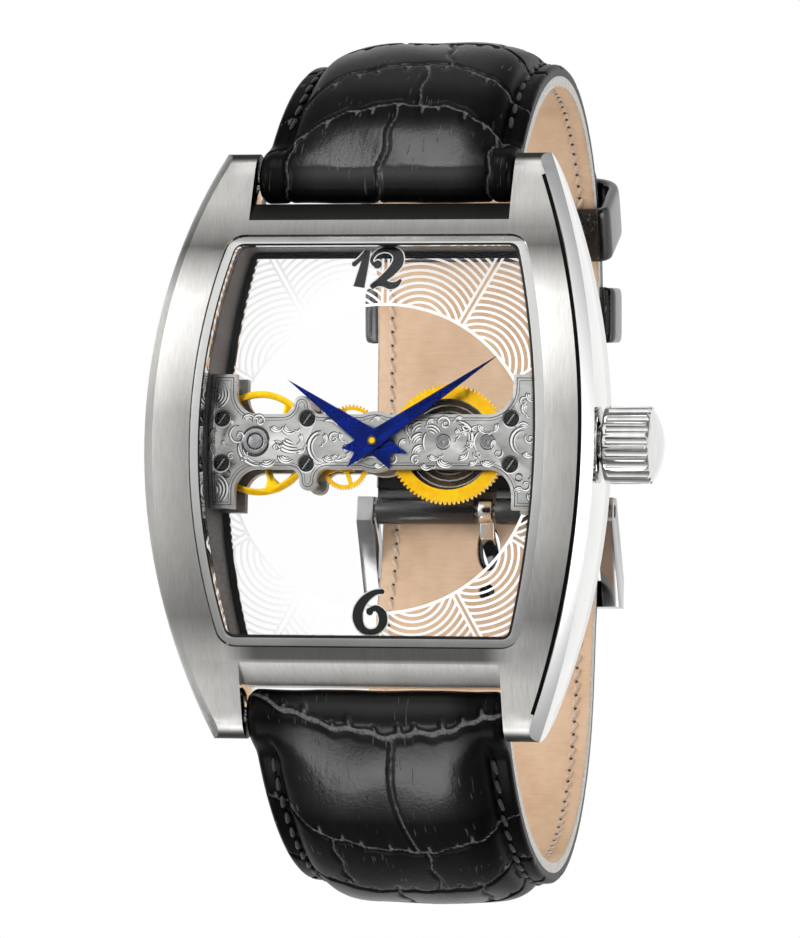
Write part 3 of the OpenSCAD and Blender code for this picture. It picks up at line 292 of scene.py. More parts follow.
def softened(name, piece, width, segments=2):
    """A CAD node's copy with its edges rounded by width millimetres, so that they catch the light."""
    obj = copy_of(name, piece)
    edited((bpy.ops.mesh.dissolve_limited, {"angle_limit": math.radians(0.4)}))
    modified(obj, "BEVEL", width=width * MM, segments=segments, limit_method="ANGLE", angle_limit=EDGE_ANGLE,
             harden_normals=False)
    bpy.ops.object.shade_smooth_by_angle(angle=EDGE_ANGLE)
    return obj


def dress(name, piece, finish, body, width, segments=2):
    """Puts a softened copy in the place of a CAD node."""
    return wear(softened(name, piece, width, segments), finish, body, [name])


def join(parts, piece):
    """Several objects as one piece."""
    bpy.ops.object.select_all(action="DESELECT")
    for part in parts:
        part.select_set(True)
    bpy.context.view_layer.objects.active = parts[0]
    bpy.ops.object.join()
    parts[0].name = parts[0].data.name = piece
    return parts[0]


def half_turn(s):
    """The strap's outward direction at the distance s along its path, as an angle."""
    if s <= LOOP_FLAT:
        return -math.pi / 2
    if s <= LOOP_FLAT + ARC_LENGTH:
        return -math.pi / 2 + (s - LOOP_FLAT) / ARC_R
    return (s - LOOP_FLAT - ARC_LENGTH) / TOP_R


def half_point(s):
    if s <= LOOP_FLAT:
        return s, LOOP_LOW_Z
    centre, r = (ARC_CENTRE, ARC_R) if s <= LOOP_FLAT + ARC_LENGTH else (TOP_CENTRE, TOP_R)
    a = half_turn(s)
    return centre[0] + r * math.cos(a), centre[1] + r * math.sin(a)


def loop_point(s, d):
    """The point d millimetres outside the path, in Y and Z; past the spring bar it goes round the bar."""
    side = -1 if s < 0 else 1
    s = abs(s)
    if s > BAR_S:
        a = BAR_TURN + (s - BAR_S) / EYE_R
        r = min(max(d - EYE_R, 0.02 * d), ROLL_R + 0.02)
        return side * (BAR_Y + r * math.cos(a)), BAR_Z + r * math.sin(a)
    a = half_turn(s)
    y, z = half_point(s)
    return side * (y + d * math.cos(a)), z + d * math.sin(a)


def eased(x):
    """0 up to 0 and 1 from 1 on, with a soft slope between them."""
    c = min(1.0, max(0.0, x))
    return c * c * (3 - 2 * c)


# Thickness, width and layer of the strap at the distance s along the path
def leather_t(s):
    return STRAP_END_T + (STRAP_T - STRAP_END_T) * eased((abs(s) - 8) / 50)


def leather_w(s):
    return STRAP_END_W + (STRAP_W - STRAP_END_W) * min(1.0, abs(s) / BAR_S)


def outer_layer(s):
    step = leather_t(0) + LAYER_GAP
    return step * eased((s + LAP_S) / LAP_RUN) if s < 0 else leather_t(s) + LAYER_GAP


def tail_width(s):
    if s < 0:
        return leather_w(s) - TAIL_TRIM * eased((s + LAP_S) / LAP_RUN)
    return (leather_w(0) - TAIL_TRIM) * math.sqrt(max(0.04, 1 - (max(0.0, s - TAIL_S + 7) / 7.4) ** 2))


def pad_height(x, w, t):
    """Height of the padded face at x, for half width w and thickness t: thin stitched edges, full middle."""
    edge = min(t, 1.55 + 0.1 * t)
    m = w - CHANNEL_IN
    x = abs(x)
    if x >= w:
        return edge - 0.25
    if x >= m:
        round_off = max(0.0, (x - (w - 0.35)) / 0.35)
        channel = 0.16 * max(0.0, 1 - abs(x - m - 0.3) / 0.45)
        return edge - 0.25 * round_off**2 - channel
    return edge + (t - edge) * (1 - (x / m) ** 4.0) ** 0.55


def near_bar(s):
    """How much of the strap's section is its end roll, which wraps the spring bar at full thickness."""
    return eased((abs(s) - BAR_S + 4.5) / 4)


def roll_height(x, w):
    return EYE_R + ROLL_R - 0.5 * max(0.0, (abs(x) - (w - 0.8)) / 0.8) ** 2


# Scale rows of the embossed hide, from the spring bar on: (start, bow, peak, [cuts]), and the groove's half width where
# it isn't the usual one. A row starts at a distance from the bar, is furthest out at peak, and is bowed back by bow at
# the strap's edge. Each cut is its x at the row's start and end, and perhaps how far it bends.
GROOVE_R, NOTCH_PITCH = 0.2, 1.9
ROWS_12 = [
    (-9.0, 0.0, 0.0, [(-1.1, 0.0), (-8.5, -8.5), (8.9, 8.7)]), (6.8, -4.5, 0.8, [(1.6, 1.5)]),
    (13.2, -5.5, 1.0, [(3.2, 1.8)]), (20.5, -3.5, 0.0, [(-2.6, -3.2), (6.2, 5.8)]), (27.5, -3.0, -1.0, [(0.8, 1.4)]),
    (34.5, -2.6, 1.0, [(-4.2, -3.6), (4.6, 4.2)]), (41.5, -2.4, 0.0, [(-0.4, 0.2)]),
    (48.5, -2.2, -1.0, [(-5.2, -4.8), (2.6, 2.4)]), (55.5, -2.0, 0.5, [(0.8, 0.4)]),
    (62.5, -1.8, 0.0, [(-3.2, -2.8), (4.6, 4.8)]), (69.5, -1.6, 0.0, [(0.4, 0.4)])]
ROWS_6 = [
    (-9.0, 0.0, 0.0, []), (1.0, -3.2, 1.8, [(1.5, 2.0, -0.9)], 0.36), (13.2, -3.5, 2.0, [(-5.4, -5.0), (2.6, 2.8)]),
    (20.5, -3.0, 0.0, [(-1.4, -1.0), (6.2, 5.8)]), (27.5, -3.0, -1.0, [(1.8, 2.4)]),
    (34.5, -2.6, 1.0, [(-4.4, -3.8), (4.8, 4.4)]), (41.5, -2.4, 0.0, [(-0.6, 0.2)]),
    (48.5, -2.2, -1.0, [(-5.0, -4.8), (2.4, 2.6)]), (55.5, -2.0, 0.5, [(0.6, 0.4)]),
    (62.5, -1.8, 0.0, [(-3.4, -2.8), (4.4, 4.8)]), (69.5, -1.6, 0.0, [(0.4, 0.4)]),
    (76.5, -1.6, 0.0, [(-3.0, -3.4), (3.6, 3.8)]), (83.5, -1.6, 0.0, [(0.4, 0.8)]),
    (90.5, -1.6, 0.0, [(-3.4, -3.0)]), (97.5, -1.4, 0.0, [(1.2, 1.0)]), (104.5, -1.2, 0.0, [])]


# How well the glaze was pressed at distances from the bar, as (distance, share), for either strap
GLAZE_12 = [(-9.0, 0.5), (-3.0, 0.55), (0.0, 1.0), (3.5, 0.9), (5.0, 0.25), (8.0, 0.3), (10.0, 0.9), (13.0, 1.0),
            (19.0, 1.0), (26.0, 0.5)]
GLAZE_6 = [(-9.0, 0.5), (-3.0, 0.5), (0.5, 0.8), (3.0, 1.0), (7.0, 1.0), (9.5, 0.15), (14.0, 0.2), (24.0, 0.4)]


def between(stops, at):
    """The value at a place along (place, value) stops."""
    for (a, low), (b, high) in zip(stops, stops[1:]):
        if at <= b:
            return low + (high - low) * max(0.0, at - a) / (b - a)
    return stops[-1][1]


def row_line(row, x, w):
    """Where a row starts at x across the strap."""
    start, bow, peak = row[:3]
    return start + bow * ((x - peak) / w) ** 2


def hide(x, along, rows, w):
    """Depth of the hide's creases, from 0 to 1, at x across and a distance along from the spring bar."""
    wobble = 0.16 * math.sin(1.3 * x + 0.31 * along) + 0.1 * math.sin(3.1 * x - 0.7 * along)
    deepest, after = 0.0, 1e9
    for i in range(len(rows) - 1, -1, -1):
        line = row_line(rows[i], x, w) + wobble
        gap = abs(along - line)
        breadth = rows[i][4] if len(rows[i]) > 4 else GROOVE_R
        if gap < 4 * breadth and rows[i][0] > -5:
            deepest = max(deepest, math.exp(-((gap / breadth) ** 2)))
        if line <= along <= after:
            part = (along - line) / max(after - line, 1.0)
            for low, high, *bend in rows[i][3]:
                sag = bend[0] * math.sin(math.pi * part) if bend else 0.14 * math.sin(1.7 * along + low)
                gap = abs(x - low - (high - low) * part - sag)
                if gap < 0.8:
                    deepest = max(deepest, math.exp(-((gap / 0.17) ** 2)))
            # short notches run from the far groove into the scale
            into = after - along
            if 0 < into < 1.7:
                number = round((x + 0.7 * i) / NOTCH_PITCH)
                gap = abs(x + 0.7 * i - number * NOTCH_PITCH - 0.3 * math.sin(number * 2.3 + i))
                reach = 1.0 + 0.7 * math.sin(number * 1.7 + i) ** 2
                left = max(0.0, 1 - into / reach)
                deepest = max(deepest, min(0.85, 1.6 * left) * math.exp(-((gap / (0.14 + 0.2 * left)) ** 2)))
        after = line
    return deepest


def flat_shift(s):
    return 0.0


def even(low, high, step):
    """Places from low to high, about a step apart."""
    count = max(2, round((high - low) / step))
    return [low + (high - low) * i / count for i in range(count + 1)]


def sheet(ring, stations):
    """A grid with ring faces across and a row of corners for each station."""
    bpy.ops.object.select_all(action="DESELECT")
    bpy.ops.mesh.primitive_grid_add(x_subdivisions=ring, y_subdivisions=len(stations) - 1, size=1, calc_uvs=True)
    return bpy.context.object


def tube(piece, stations, ring, shift, section):
    """A closed band along the path. section(i, s) gives corner i of the ring at s: its x, its distance from its layer,
    and perhaps its crease and glaze."""
    obj = sheet(ring, stations)
    mesh = obj.data
    spots, marks = [], []
    for v in mesh.vertices:
        i, s = v.index % (ring + 1), stations[v.index // (ring + 1)]
        x, d, *extra = section(i, s)
        y, z = loop_point(s, d + shift(s))
        v.co = (x * MM, y * MM, z * MM)
        spots.append((x * MM, s * MM))
        marks.append(extra)
    for name, values in zip(("crease", "glaze"), zip(*marks)):
        mesh.attributes.new(name, "FLOAT", "POINT").data.foreach_set("value", values)
    for loop, place in zip(mesh.loops, mesh.uv_layers.active.data):
        place.uv = spots[loop.vertex_index]
    # its seam is merged, and its two open ends are each filled with a face
    edited((bpy.ops.mesh.remove_doubles, {"threshold": 0.000001}), (bpy.ops.mesh.select_all, {"action": "DESELECT"}),
           (bpy.ops.mesh.select_mode, {"type": "EDGE"}), (bpy.ops.mesh.select_non_manifold, {}),
           (bpy.ops.mesh.edge_face_add, {}), (bpy.ops.mesh.select_all, {"action": "SELECT"}),
           (bpy.ops.mesh.normals_make_consistent, {"inside": False}))
    bpy.ops.object.shade_smooth_by_angle(angle=math.radians(50))
    obj.name = mesh.name = piece
    return obj


def strap_skin(piece, stations, width, shift, rows, across):
    """The outer leather, with its scales embossed."""
    side, under = 4, 6
    pressed = GLAZE_12 if rows is ROWS_12 else GLAZE_6
    dull = 0.1

    def section(i, s):
        w, t = width(s) / 2, leather_t(s)
        rim = pad_height(w, w, t)
        rim += (roll_height(w, w) - rim) * near_bar(s)
        if i <= side:
            return -w, LINING_T + (rim - LINING_T) * i / side, 0.0, dull
        if i > 2 * side + across:
            return w - 2 * w * (i - 2 * side - across) / under, LINING_T, 0.0, dull
        if i > side + across:
            return w, rim + (LINING_T - rim) * (i - side - across) / side, 0.0, dull
        along = BAR_S + s if s > 0 and shift is not flat_shift else BAR_S - abs(s)
        u = (i - side) / across * 2 - 1
        x = w * (u * 0.93 + 0.07 * u**5)
        d = pad_height(x, w, t)
        depth = hide(x, along, rows, w)
        inside = min(1.0, max(0.0, (w - abs(x)) / 0.5))
        d += (roll_height(x, w) - d) * near_bar(s)
        swell = 0.05 * math.sin(x * 0.8 + along * 0.5) * inside
        lines = [row_line(row, x, w) for row in rows]
        above = min((line for line in lines if line > along), default=along + 3)
        below = max((line for line in lines if line <= along), default=along - 3)
        dome = math.sin(math.pi * (along - below) / (above - below)) ** 0.5 if above > below else 0.0
        crown = 1 - eased((abs(x) / (w - CHANNEL_IN) - 0.62) / 0.34)
        share = between(pressed, along) * (0.12 + 0.88 * crown * (0.35 + 0.65 * dome))
        return x, d + swell - 0.3 * depth * (0.35 + 0.65 * inside) * min(1.0, t / 3), depth, share

    return tube(piece, stations, across + 2 * side + under, shift, section)


def lining_skin(piece, stations, width, shift):
    """The lining: a thin band under the leather, slightly rounded at its edges."""
    across = 12

    def section(i, s):
        w = width(s) / 2
        if i > across:
            return -w + 2 * w * (i - across) / across, LINING_T - 0.01
        u = 1 - 2 * i / across
        return w * u, 0.12 * max(0.0, abs(u) - 0.9) / 0.1

    return tube(piece, stations, 2 * across, shift, section)


def stitches(piece, spans, pitch, length, thick, place):
    """Rows of thread: one rounded stitch, copied along each span by place(s, side)."""
    bpy.ops.object.select_all(action="DESELECT")
    bpy.ops.mesh.primitive_uv_sphere_add(segments=8, ring_count=6, radius=0.5)
    seed = bpy.context.object
    shape = [v.co.copy() for v in seed.data.vertices]
    faces = [list(p.vertices) for p in seed.data.polygons]
    bpy.data.objects.remove(seed)
    verts, polys = [], []
    for low, high, side in spans:
        for n in range(int((high - low) / pitch)):
            s = low + pitch * (n + 0.5)
            turn = place(s, side)
            if turn is None:
                continue
            first = len(verts)
            for co in shape:
                stretched = math.copysign(abs(co.z * 2) ** 0.6 / 2, co.z)
                verts.append(turn @ Vector((co.x * thick, co.y * thick * 0.8, stretched * length)))
            polys += [[first + i for i in face] for face in faces]
    mesh = bpy.data.meshes.new(piece)
    mesh.from_pydata([v * MM for v in verts], [], polys)
    obj = new_piece(piece, mesh)
    bpy.ops.object.shade_smooth()
    return obj


def thread_place(width, depth, shift, lean):
    """A stitch's frame on the strap: Z along the path, Y outward, leant a little across."""
    def place(s, side):
        w = width(s) / 2 - SEAM_IN
        if w < 3:
            return None
        d = depth(w, width(s) / 2, s) + shift(s)
        y0, z0 = loop_point(s - 0.2, d)
        y1, z1 = loop_point(s + 0.2, d)
        y, z = loop_point(s, d)
        along = Vector((0, y1 - y0, z1 - z0)).normalized()
        away = Vector((0, *loop_point(s, d + 1))) - Vector((0, y, z))
        across = away.cross(along).normalized()
        upright = Matrix((across, away.normalized(), along)).transposed()
        leant = upright @ Matrix.Rotation(lean * side, 3, "Y")
        return Matrix.Translation((side * w, y, z)) @ leant.to_4x4()
    return place


# Finishes. Each is named for what it is, and its comment says what that gives the eye.
def new_finish(name):
    """A named node material, its tree and the point's place, by kind."""
    finish = bpy.data.materials.new(name)
    finish.use_nodes = True
    finish.node_tree.nodes.clear()
    return finish, finish.node_tree, node(finish.node_tree, "TexCoord").outputs


def grain(tree, place, size, stretch=(1, 1, 1), detail=3.0, rough=0.5):
    """Noise whose grains are size millimetres wide, drawn out along the axes by stretch."""
    scaled = node(tree, "Mapping", None, Vector=place, Scale=tuple(1000 / (size * k) for k in stretch)).outputs[0]
    return node(tree, "TexNoise", None, Vector=scaled, Scale=1.0, Detail=detail, Roughness=rough).outputs["Fac"]


def relief(tree, height, depth):
    """A bump of depth millimetres."""
    return node(tree, "Bump", None, Height=height, Strength=1.0, Distance=depth * MM).outputs[0]


def surface(tree, colour, rough, normal, **more):
    """The Principled shader, wired to the output."""
    out(tree, node(tree, "BsdfPrincipled", None, Base_Color=colour, Roughness=rough, Normal=normal, **more).outputs[0])


def metal(name, light, dark, rough, size, depth=0.002, stretch=(1, 1, 1), **more):
    """A metal whose tone, gloss and relief vary over its grain."""
    finish, tree, place = new_finish(name)
    noise = grain(tree, place["Object"], size, stretch)
    wide = grain(tree, place["Object"], size * 9, (1, 1, 1), 2.0)
    tone = sums(tree, "MULTIPLY_ADD", noise, 0.6, times(tree, wide, 0.4))
    colour = ramp(tree, tone, [(0.3, dark), (0.7, light)])
    gloss = smooth_range(tree, noise, 0.25, 0.75, rough * 0.8, rough * 1.25)
    surface(tree, colour, gloss, relief(tree, noise, depth), Metallic=1.0, **more)
    return finish


def brushed_316l():
    """316L steel, drawn with a belt along the case: satin on the face, bevels and ends, with painted light and shade
    along the case that greys it near the window's corners, and polished like a mirror on the flanks and back."""
    finish, tree, place = new_finish("brushed_316l_steel")
    nx, ny, nz = axes_of(tree, place["Normal"])
    face = highest(tree, smooth_range(tree, nz, 0.5, 0.62), smooth_range(tree, sums(tree, "ABSOLUTE", ny), 0.55, 0.68))
    # the crown side's bevel is buffed together with its flank
    face = times(tree, face, smooth_range(tree, nx, 0.5, 0.3))
    fine = grain(tree, place["Object"], 0.1, (1, 14, 14), 4.0, 0.65)
    broad = grain(tree, place["Object"], 1.6, (1, 4, 4), 2.0)
    tone = sums(tree, "MULTIPLY_ADD", fine, 0.7, times(tree, broad, 0.3))
    streaks = ramp(tree, tone, [(0.3, "#e2e1df"), (0.5, "#f4f3f1"), (0.7, "#ffffff")])
    x, y, _ = axes_of(tree, place["Object"])
    # painted light and shade: the satin is drawn lighter and darker along the case's length
    length = node(tree, "MapRange", None, Value=y, From_Min=-24 * MM, From_Max=24 * MM).outputs[0]
    belt = ramp(tree, length, FACE_PAINTED_SHADING)
    satin = mix(tree, 1.0, belt, streaks, "MULTIPLY")
    # the narrow land under the window is in the shade of its own roll-off
    sideways = sums(tree, "ABSOLUTE", x)
    land = times(tree, smooth_range(tree, y, -16.4 * MM, -17.2 * MM),
                 smooth_range(tree, y, -18.7 * MM, -18.2 * MM), smooth_range(tree, sideways, 12.5 * MM, 9.5 * MM))
    satin = mix(tree, land, satin, linear("#8a8a8a"), "MULTIPLY")
    # the ends that turn up and the lug tips that turn down lie in shade
    tips = times(tree, smooth_range(tree, ny, -0.5, -0.9), smooth_range(tree, sideways, 10.9 * MM, 11.2 * MM))
    shaded = highest(tree, smooth_range(tree, ny, 0.5, 0.8), tips)
    satin = mix(tree, shaded, satin, linear("#6a6a6a"), "MULTIPLY")
    # painted highlight: the crown side's bevel is drawn whiter than the flank, and it is softer
    bevel = times(tree, smooth_range(tree, nz, 0.3, 0.45), smooth_range(tree, nx, 0.3, 0.45))
    mirror = mix(tree, bevel, ramp(tree, broad, [(0.3, "#e4e4e2"), (0.7, "#efefed")]), linear("#ffffff"))
    colour = mix(tree, face, mirror, satin)
    gloss = node(tree, "MapRange", None, Value=face, To_Min=0.07, To_Max=0.36).outputs[0]
    gloss = highest(tree, gloss, times(tree, bevel, 0.42))
    lines = times(tree, fine, face)
    surface(tree, colour, sums(tree, "MULTIPLY_ADD", lines, 0.1, gloss), relief(tree, lines, 0.012), Metallic=1.0)
    return finish


def clear_glass(name, index, gloss):
    """Sapphire or mineral glass with an anti-reflection coat, which the low index stands for: what lies below shows
    clear and unbent, as through a thin sheet, under a faint reflection that grows towards the rim."""
    finish, tree, place = new_finish(name)
    smear = grain(tree, place["Object"], 6.0)
    shine = node(tree, "BsdfPrincipled", None, IOR=1.5, Metallic=1.0, Base_Color=linear("#f4f6f8"),
                 Roughness=smooth_range(tree, smear, 0.3, 0.7, gloss, gloss * 1.5))
    clear = node(tree, "BsdfTransparent")
    share = node(tree, "Fresnel", None, IOR=index).outputs[0]
    out(tree, mix_shaders(tree, share, clear, shine).outputs[0])
    return finish


def white_ink():
    """White ink screened on the dial glass: twelve fans of nested arcs round a clear disc, so that what lies
    below shows between the lines."""
    finish, tree, place = new_finish("white_screen_ink")
    x, y, _ = axes_of(tree, place["Object"])
    dx, dy = (sums(tree, "SUBTRACT", part, centre * MM) for part, centre in zip((x, y), PRINT_CENTRE))
    radius = hypot(tree, dx, dy)
    angle = sums(tree, "ARCTAN2", dy, dx)
    sector = math.radians(30)
    # the angle from the nearest seam, and from the middle of the fan
    folded = sums(tree, "PINGPONG", sums(tree, "ADD", angle, 4 * math.pi), sector / 2)
    off_middle = sums(tree, "SUBTRACT", sector / 2, folded)
    along = sums(tree, "SUBTRACT", times(tree, radius, sums(tree, "COSINE", off_middle)), FAN_R * MM)
    across = times(tree, radius, sums(tree, "SINE", off_middle))
    steps = sums(tree, "FRACT", sums(tree, "DIVIDE", hypot(tree, along, across), ARC_PITCH * MM))
    arcs = sums(tree, "LESS_THAN", steps, ARC_SHARE)
    seam = times(tree, radius, sums(tree, "SINE", folded))
    inside_seam = sums(tree, "GREATER_THAN", seam, SEAM_NEAR * MM)
    edge = times(tree, inside_seam, sums(tree, "LESS_THAN", seam, SEAM_FAR * MM))
    outside = sums(tree, "GREATER_THAN", radius, CLEAR_R * MM)
    ring = sums(tree, "LESS_THAN", radius, (CLEAR_R + RING_W) * MM)
    # a black border hides the glass's seat: the window's sides are arcs, its ends straight
    far_side = sums(tree, "ADD", sums(tree, "ABSOLUTE", x), (WINDOW_SIDE_R - WINDOW_HALF_W) * MM)
    to_side = sums(tree, "SUBTRACT", WINDOW_SIDE_R * MM, hypot(tree, far_side, y))
    to_end = sums(tree, "SUBTRACT", WINDOW_HALF_H * MM, sums(tree, "ABSOLUTE", y))
    border = sums(tree, "LESS_THAN", sums(tree, "MINIMUM", to_side, to_end), BORDER * MM)
    ink = highest(tree, border, times(tree, outside, highest(tree, times(tree, arcs, inside_seam), edge, ring)))
    white = ramp(tree, grain(tree, place["Object"], 0.2), [(0.3, "#f6f6f5"), (0.7, "#ffffff")])
    # the faint glow stands for the light that thin ink passes on from the white ground below
    body = node(tree, "BsdfPrincipled", None, Roughness=0.45,
                Base_Color=mix(tree, border, white, linear("#050505")), Emission_Strength=0.6,
                Emission_Color=mix(tree, border, linear("#ffffff"), linear("#000000")))
    out(tree, mix_shaders(tree, ink, node(tree, "BsdfTransparent"), body).outputs[0])
    return finish


def glazed_leather(name, crease=True):
    """Calf leather embossed with square scales, glazed black: highlights on the domes where the plate pressed
    the glaze smooth, dull black beside the seams, and paler grey in the grooves and along fine wrinkles."""
    finish, tree, place = new_finish(name)
    spot = place["UV"] if crease else place["Object"]
    pores = grain(tree, spot, 0.32, (1, 1, 1), 4.0, 0.6)
    folds = grain(tree, spot, 1.5, (0.5, 1.6, 1), 3.0, 0.6)
    if crease:
        depth = node(tree, "Attribute", {"attribute_name": "crease"}).outputs["Fac"]
    else:
        depth = times(tree, pores, 0.1)
    dye = ramp(tree, folds, [(0.3, "#050505"), (0.7, "#0d0c0c")])
    # the grooves and wrinkle lines are drawn paler grey
    worn = smooth_range(tree, sums(tree, "MULTIPLY_ADD", pores, 0.3, depth), 0.68, 1.05)
    # short fine wrinkles, in patches
    hair = smooth_range(tree, grain(tree, spot, 0.2, (1, 9, 1), 0.0), 0.7, 0.78)
    patch = smooth_range(tree, grain(tree, spot, 3.6, (1, 1, 1), 0.0), 0.52, 0.6)
    wrinkle = times(tree, hair, patch)
    worn = highest(tree, times(tree, worn, smooth_range(tree, pores, 0.3, 0.62, 0.4, 1.0)), times(tree, wrinkle, 0.28))
    colour = mix(tree, worn, dye, linear("#737170"))
    gloss = smooth_range(tree, sums(tree, "MULTIPLY_ADD", folds, 0.3, depth), 0.1, 0.8, 0.24, 0.55)
    height = sums(tree, "MULTIPLY_ADD", folds, 0.6, times(tree, pores, 0.4))
    height = sums(tree, "MULTIPLY_ADD", wrinkle, -0.6, height)
    if crease:
        shine = node(tree, "Attribute", {"attribute_name": "glaze"}).outputs["Fac"]
    else:
        shine = smooth_range(tree, folds, 0.1, 0.9, 1.15, 1.4)
    gloss = sums(tree, "MULTIPLY_ADD", sums(tree, "SUBTRACT", 1.0, shine), 0.12, gloss)
    surface(tree, colour, gloss, relief(tree, height, 0.05), Coat_Weight=times(tree, shine, 0.14),
            Coat_Roughness=0.08, IOR=1.45, Specular_IOR_Level=sums(tree, "MULTIPLY_ADD", shine, 0.55, 0.02))
    return finish


def lining_leather():
    """Undyed cowhide lining: warm tan with a fine fibrous nap along the strap and darker smudges from wear."""
    finish, tree, place = new_finish("natural_cowhide_lining")
    spot = place["UV"]
    nap = grain(tree, spot, 0.25, (6, 1, 1), 4.0, 0.65)
    smudge = grain(tree, spot, 5.0, (1, 1.6, 1), 3.0, 0.6)
    tone = sums(tree, "MULTIPLY_ADD", nap, 0.3, times(tree, smudge, 0.7))
    colour = ramp(tree, tone, [(0.28, "#d6b08e"), (0.5, "#ebcaa9"), (0.72, "#f8dcc0")])
    surface(tree, colour, smooth_range(tree, nap, 0.2, 0.8, 0.6, 0.8), relief(tree, nap, 0.04), IOR=1.45)
    return finish


def cloth_thread(name, light, dark):
    """Twisted polyester thread: a soft sheen broken by its ply."""
    finish, tree, place = new_finish(name)
    ply = grain(tree, place["Object"], 0.12, (1, 3, 1), 2.0)
    surface(tree, ramp(tree, ply, [(0.3, dark), (0.7, light)]), 0.55, relief(tree, ply, 0.03), Sheen_Weight=0.2)
    return finish


def moulded(name, light, dark, rough, size, **more):
    """Paint, rubber or a ruby: an even colour with a slight mottle."""
    finish, tree, place = new_finish(name)
    mottle = grain(tree, place["Object"], size)
    gloss = smooth_range(tree, mottle, 0.2, 0.8, rough * 0.85, rough * 1.2)
    surface(tree, ramp(tree, mottle, [(0.3, dark), (0.7, light)]), gloss, relief(tree, mottle, 0.004), **more)
    return finish


FINISHES = {}


def make_finishes(colours):
    """Makes all finishes, under the short names that the pieces use."""
    FINISHES.update(
        case=brushed_316l(),
        # polished bar steel: near mirror with faint hairlines from the buff
        polish=metal("polished_316l_steel", "#ebebe9", "#d6d6d4", 0.09, 0.8, 0.001, (1, 6, 1)),
        # the bezel ring's fine satin: pale, without hard reflections
        ring=metal("satin_bezel_ring", "#c8c8c6", "#bcbcba", 0.17, 3.0, 0.0002),
        # the buckle: polished steel, drawn darker grey as painted shade and dark reflection
        worn=metal("painted_shade_buckle_steel", "#a2a2a4", "#909092", 0.13, 2.0, 0.0005),
        # painted shade: a dark strip for the dark line that the crease between the case's face and its bevel shows
        seam=metal("painted_crease_shade", "#1c1c1c", "#080808", 0.5, 0.4, 0.001),
        # satin steel inside the window, in shadow: dark grey with soft streaks
        holder=metal("bead_blasted_holder_ring", "#6a6a6b", "#3c3c3e", 0.42, 0.3, 0.003, (1, 1, 4)),
        sapphire=clear_glass("sapphire_crystal", 1.14, 0.02),
        mineral=clear_glass("mineral_glass", 1.12, 0.03),
        ink=white_ink(),
        # rhodium over nickel silver: pale grey satin, slightly warm
        bridge=metal("rhodium_plated_bridge", "#c2c2c0", "#a2a2a0", 0.32, 0.5, 0.002, (3, 1, 1)),
        # painted highlight: the lit flank of a graver's cut and the bright rims by the screws, drawn brighter than the
        # ground
        cut=metal("painted_highlight_metal", "#ffffff", "#e8e7e4", 0.36, 0.25, 0.001),
        # painted shade: the shaded flank of a cut and the other dark lines and rings, drawn dark
        shade=metal("painted_shade_metal", "#535252", "#343434", 0.42, 0.25, 0.001),
        screw=metal("blackened_screw_steel", "#3a3a3b", "#161617", 0.28, 0.3),
        steel=metal("tempered_spring_steel", "#a3a4a6", "#77787b", 0.24, 0.3),
        plate=metal("rhodium_plated_plate", "#b7b6b3", "#8d8c8a", 0.34, 0.5, 0.002, (3, 1, 1)),
        # gilt brass: saturated yellow, darker and redder where it turns away
        gold=metal("gilt_brass_wheel", colours.wheels, "#f5ad08", 0.22, 0.4),
        # barrel drum: plain brass greyed by oil and the spring's wear
        drum=metal("barrel_brass", "#7a6142", "#463423", 0.38, 0.35, 0.003),
        # jewels of colourless corundum in their chatons: grey, with a sharp glint
        jewel=moulded("colourless_corundum", "#8a8788", "#5d5a5c", 0.06, 0.4, IOR=1.77, Coat_Weight=0.6),
        blue=metal("flame_blued_steel", colours.hands, "#04104e", 0.24, 1.2, 0.001),
        ruby=moulded("synthetic_ruby", "#c2244a", "#8a0f2c", 0.08, 0.4, IOR=1.77, Coat_Weight=0.3),
        rubber=moulded("black_nitrile_rubber", "#191919", "#0c0c0c", 0.55, 0.15, IOR=1.5),
        numeral=moulded("black_gloss_ink", "#070707", "#020202", 0.35, 0.2, IOR=1.5),
        halo=moulded("white_gloss_ink", "#ffffff", "#f2f2f0", 0.4, 0.2, IOR=1.5),
        hide=glazed_leather("glazed_embossed_calf"),
        band=glazed_leather("glazed_plain_calf", False),
        lining=lining_leather(),
        # cut edge sealed with grey edge paint, drawn pale in part as a painted highlight along its rounded edge
        edge=moulded("edge_paint_with_painted_highlight", "#dcd9d4", "#b4b0aa", 0.5, 0.3, IOR=1.5),
        black_thread=cloth_thread("black_bonded_thread", "#23211f", "#0c0b0a"),
        pale_thread=cloth_thread("natural_bonded_thread", "#ead8c6", "#c9ae95"),
    )


# Engraving strokes and numerals are drawn with one pen: a tapered ribbon with a line of corners down its middle.
def pen(verts, faces, points, widths, z):
    """Adds a ribbon along points, as wide as widths, lying at the height z(x, y)."""
    first, count = len(verts), len(points)
    for i, (x, y) in enumerate(points):
        ax, ay = points[max(0, i - 1)]
        bx, by = points[min(count - 1, i + 1)]
        length = math.hypot(bx - ax, by - ay) or 1.0
        nx, ny = (ay - by) / length, (bx - ax) / length
        w = max(widths[i], 0.004) / 2
        for side in (1, 0, -1):
            px, py = x + nx * w * side, y + ny * w * side
            verts.append((px * MM, py * MM, z(px, py) * MM))
    for i in range(count - 1):
        a, b = first + 3 * i, first + 3 * (i + 1)
        faces += [(a, a + 1, b + 1, b), (a + 1, a + 2, b + 2, b + 1)]


def pen_piece(piece, strokes, z, finish):
    """One piece of all the strokes, facing up."""
    verts, faces = [], []
    for points, widths in strokes:
        pen(verts, faces, points, widths, z)
    mesh = bpy.data.meshes.new(piece)
    mesh.from_pydata(verts, [], faces)
    obj = new_piece(piece, mesh)
    outward(obj)
    mesh.update()
    if sum(p.normal.z for p in mesh.polygons) < 0:
        mesh.flip_normals()
    return wear(obj, finish, "case")


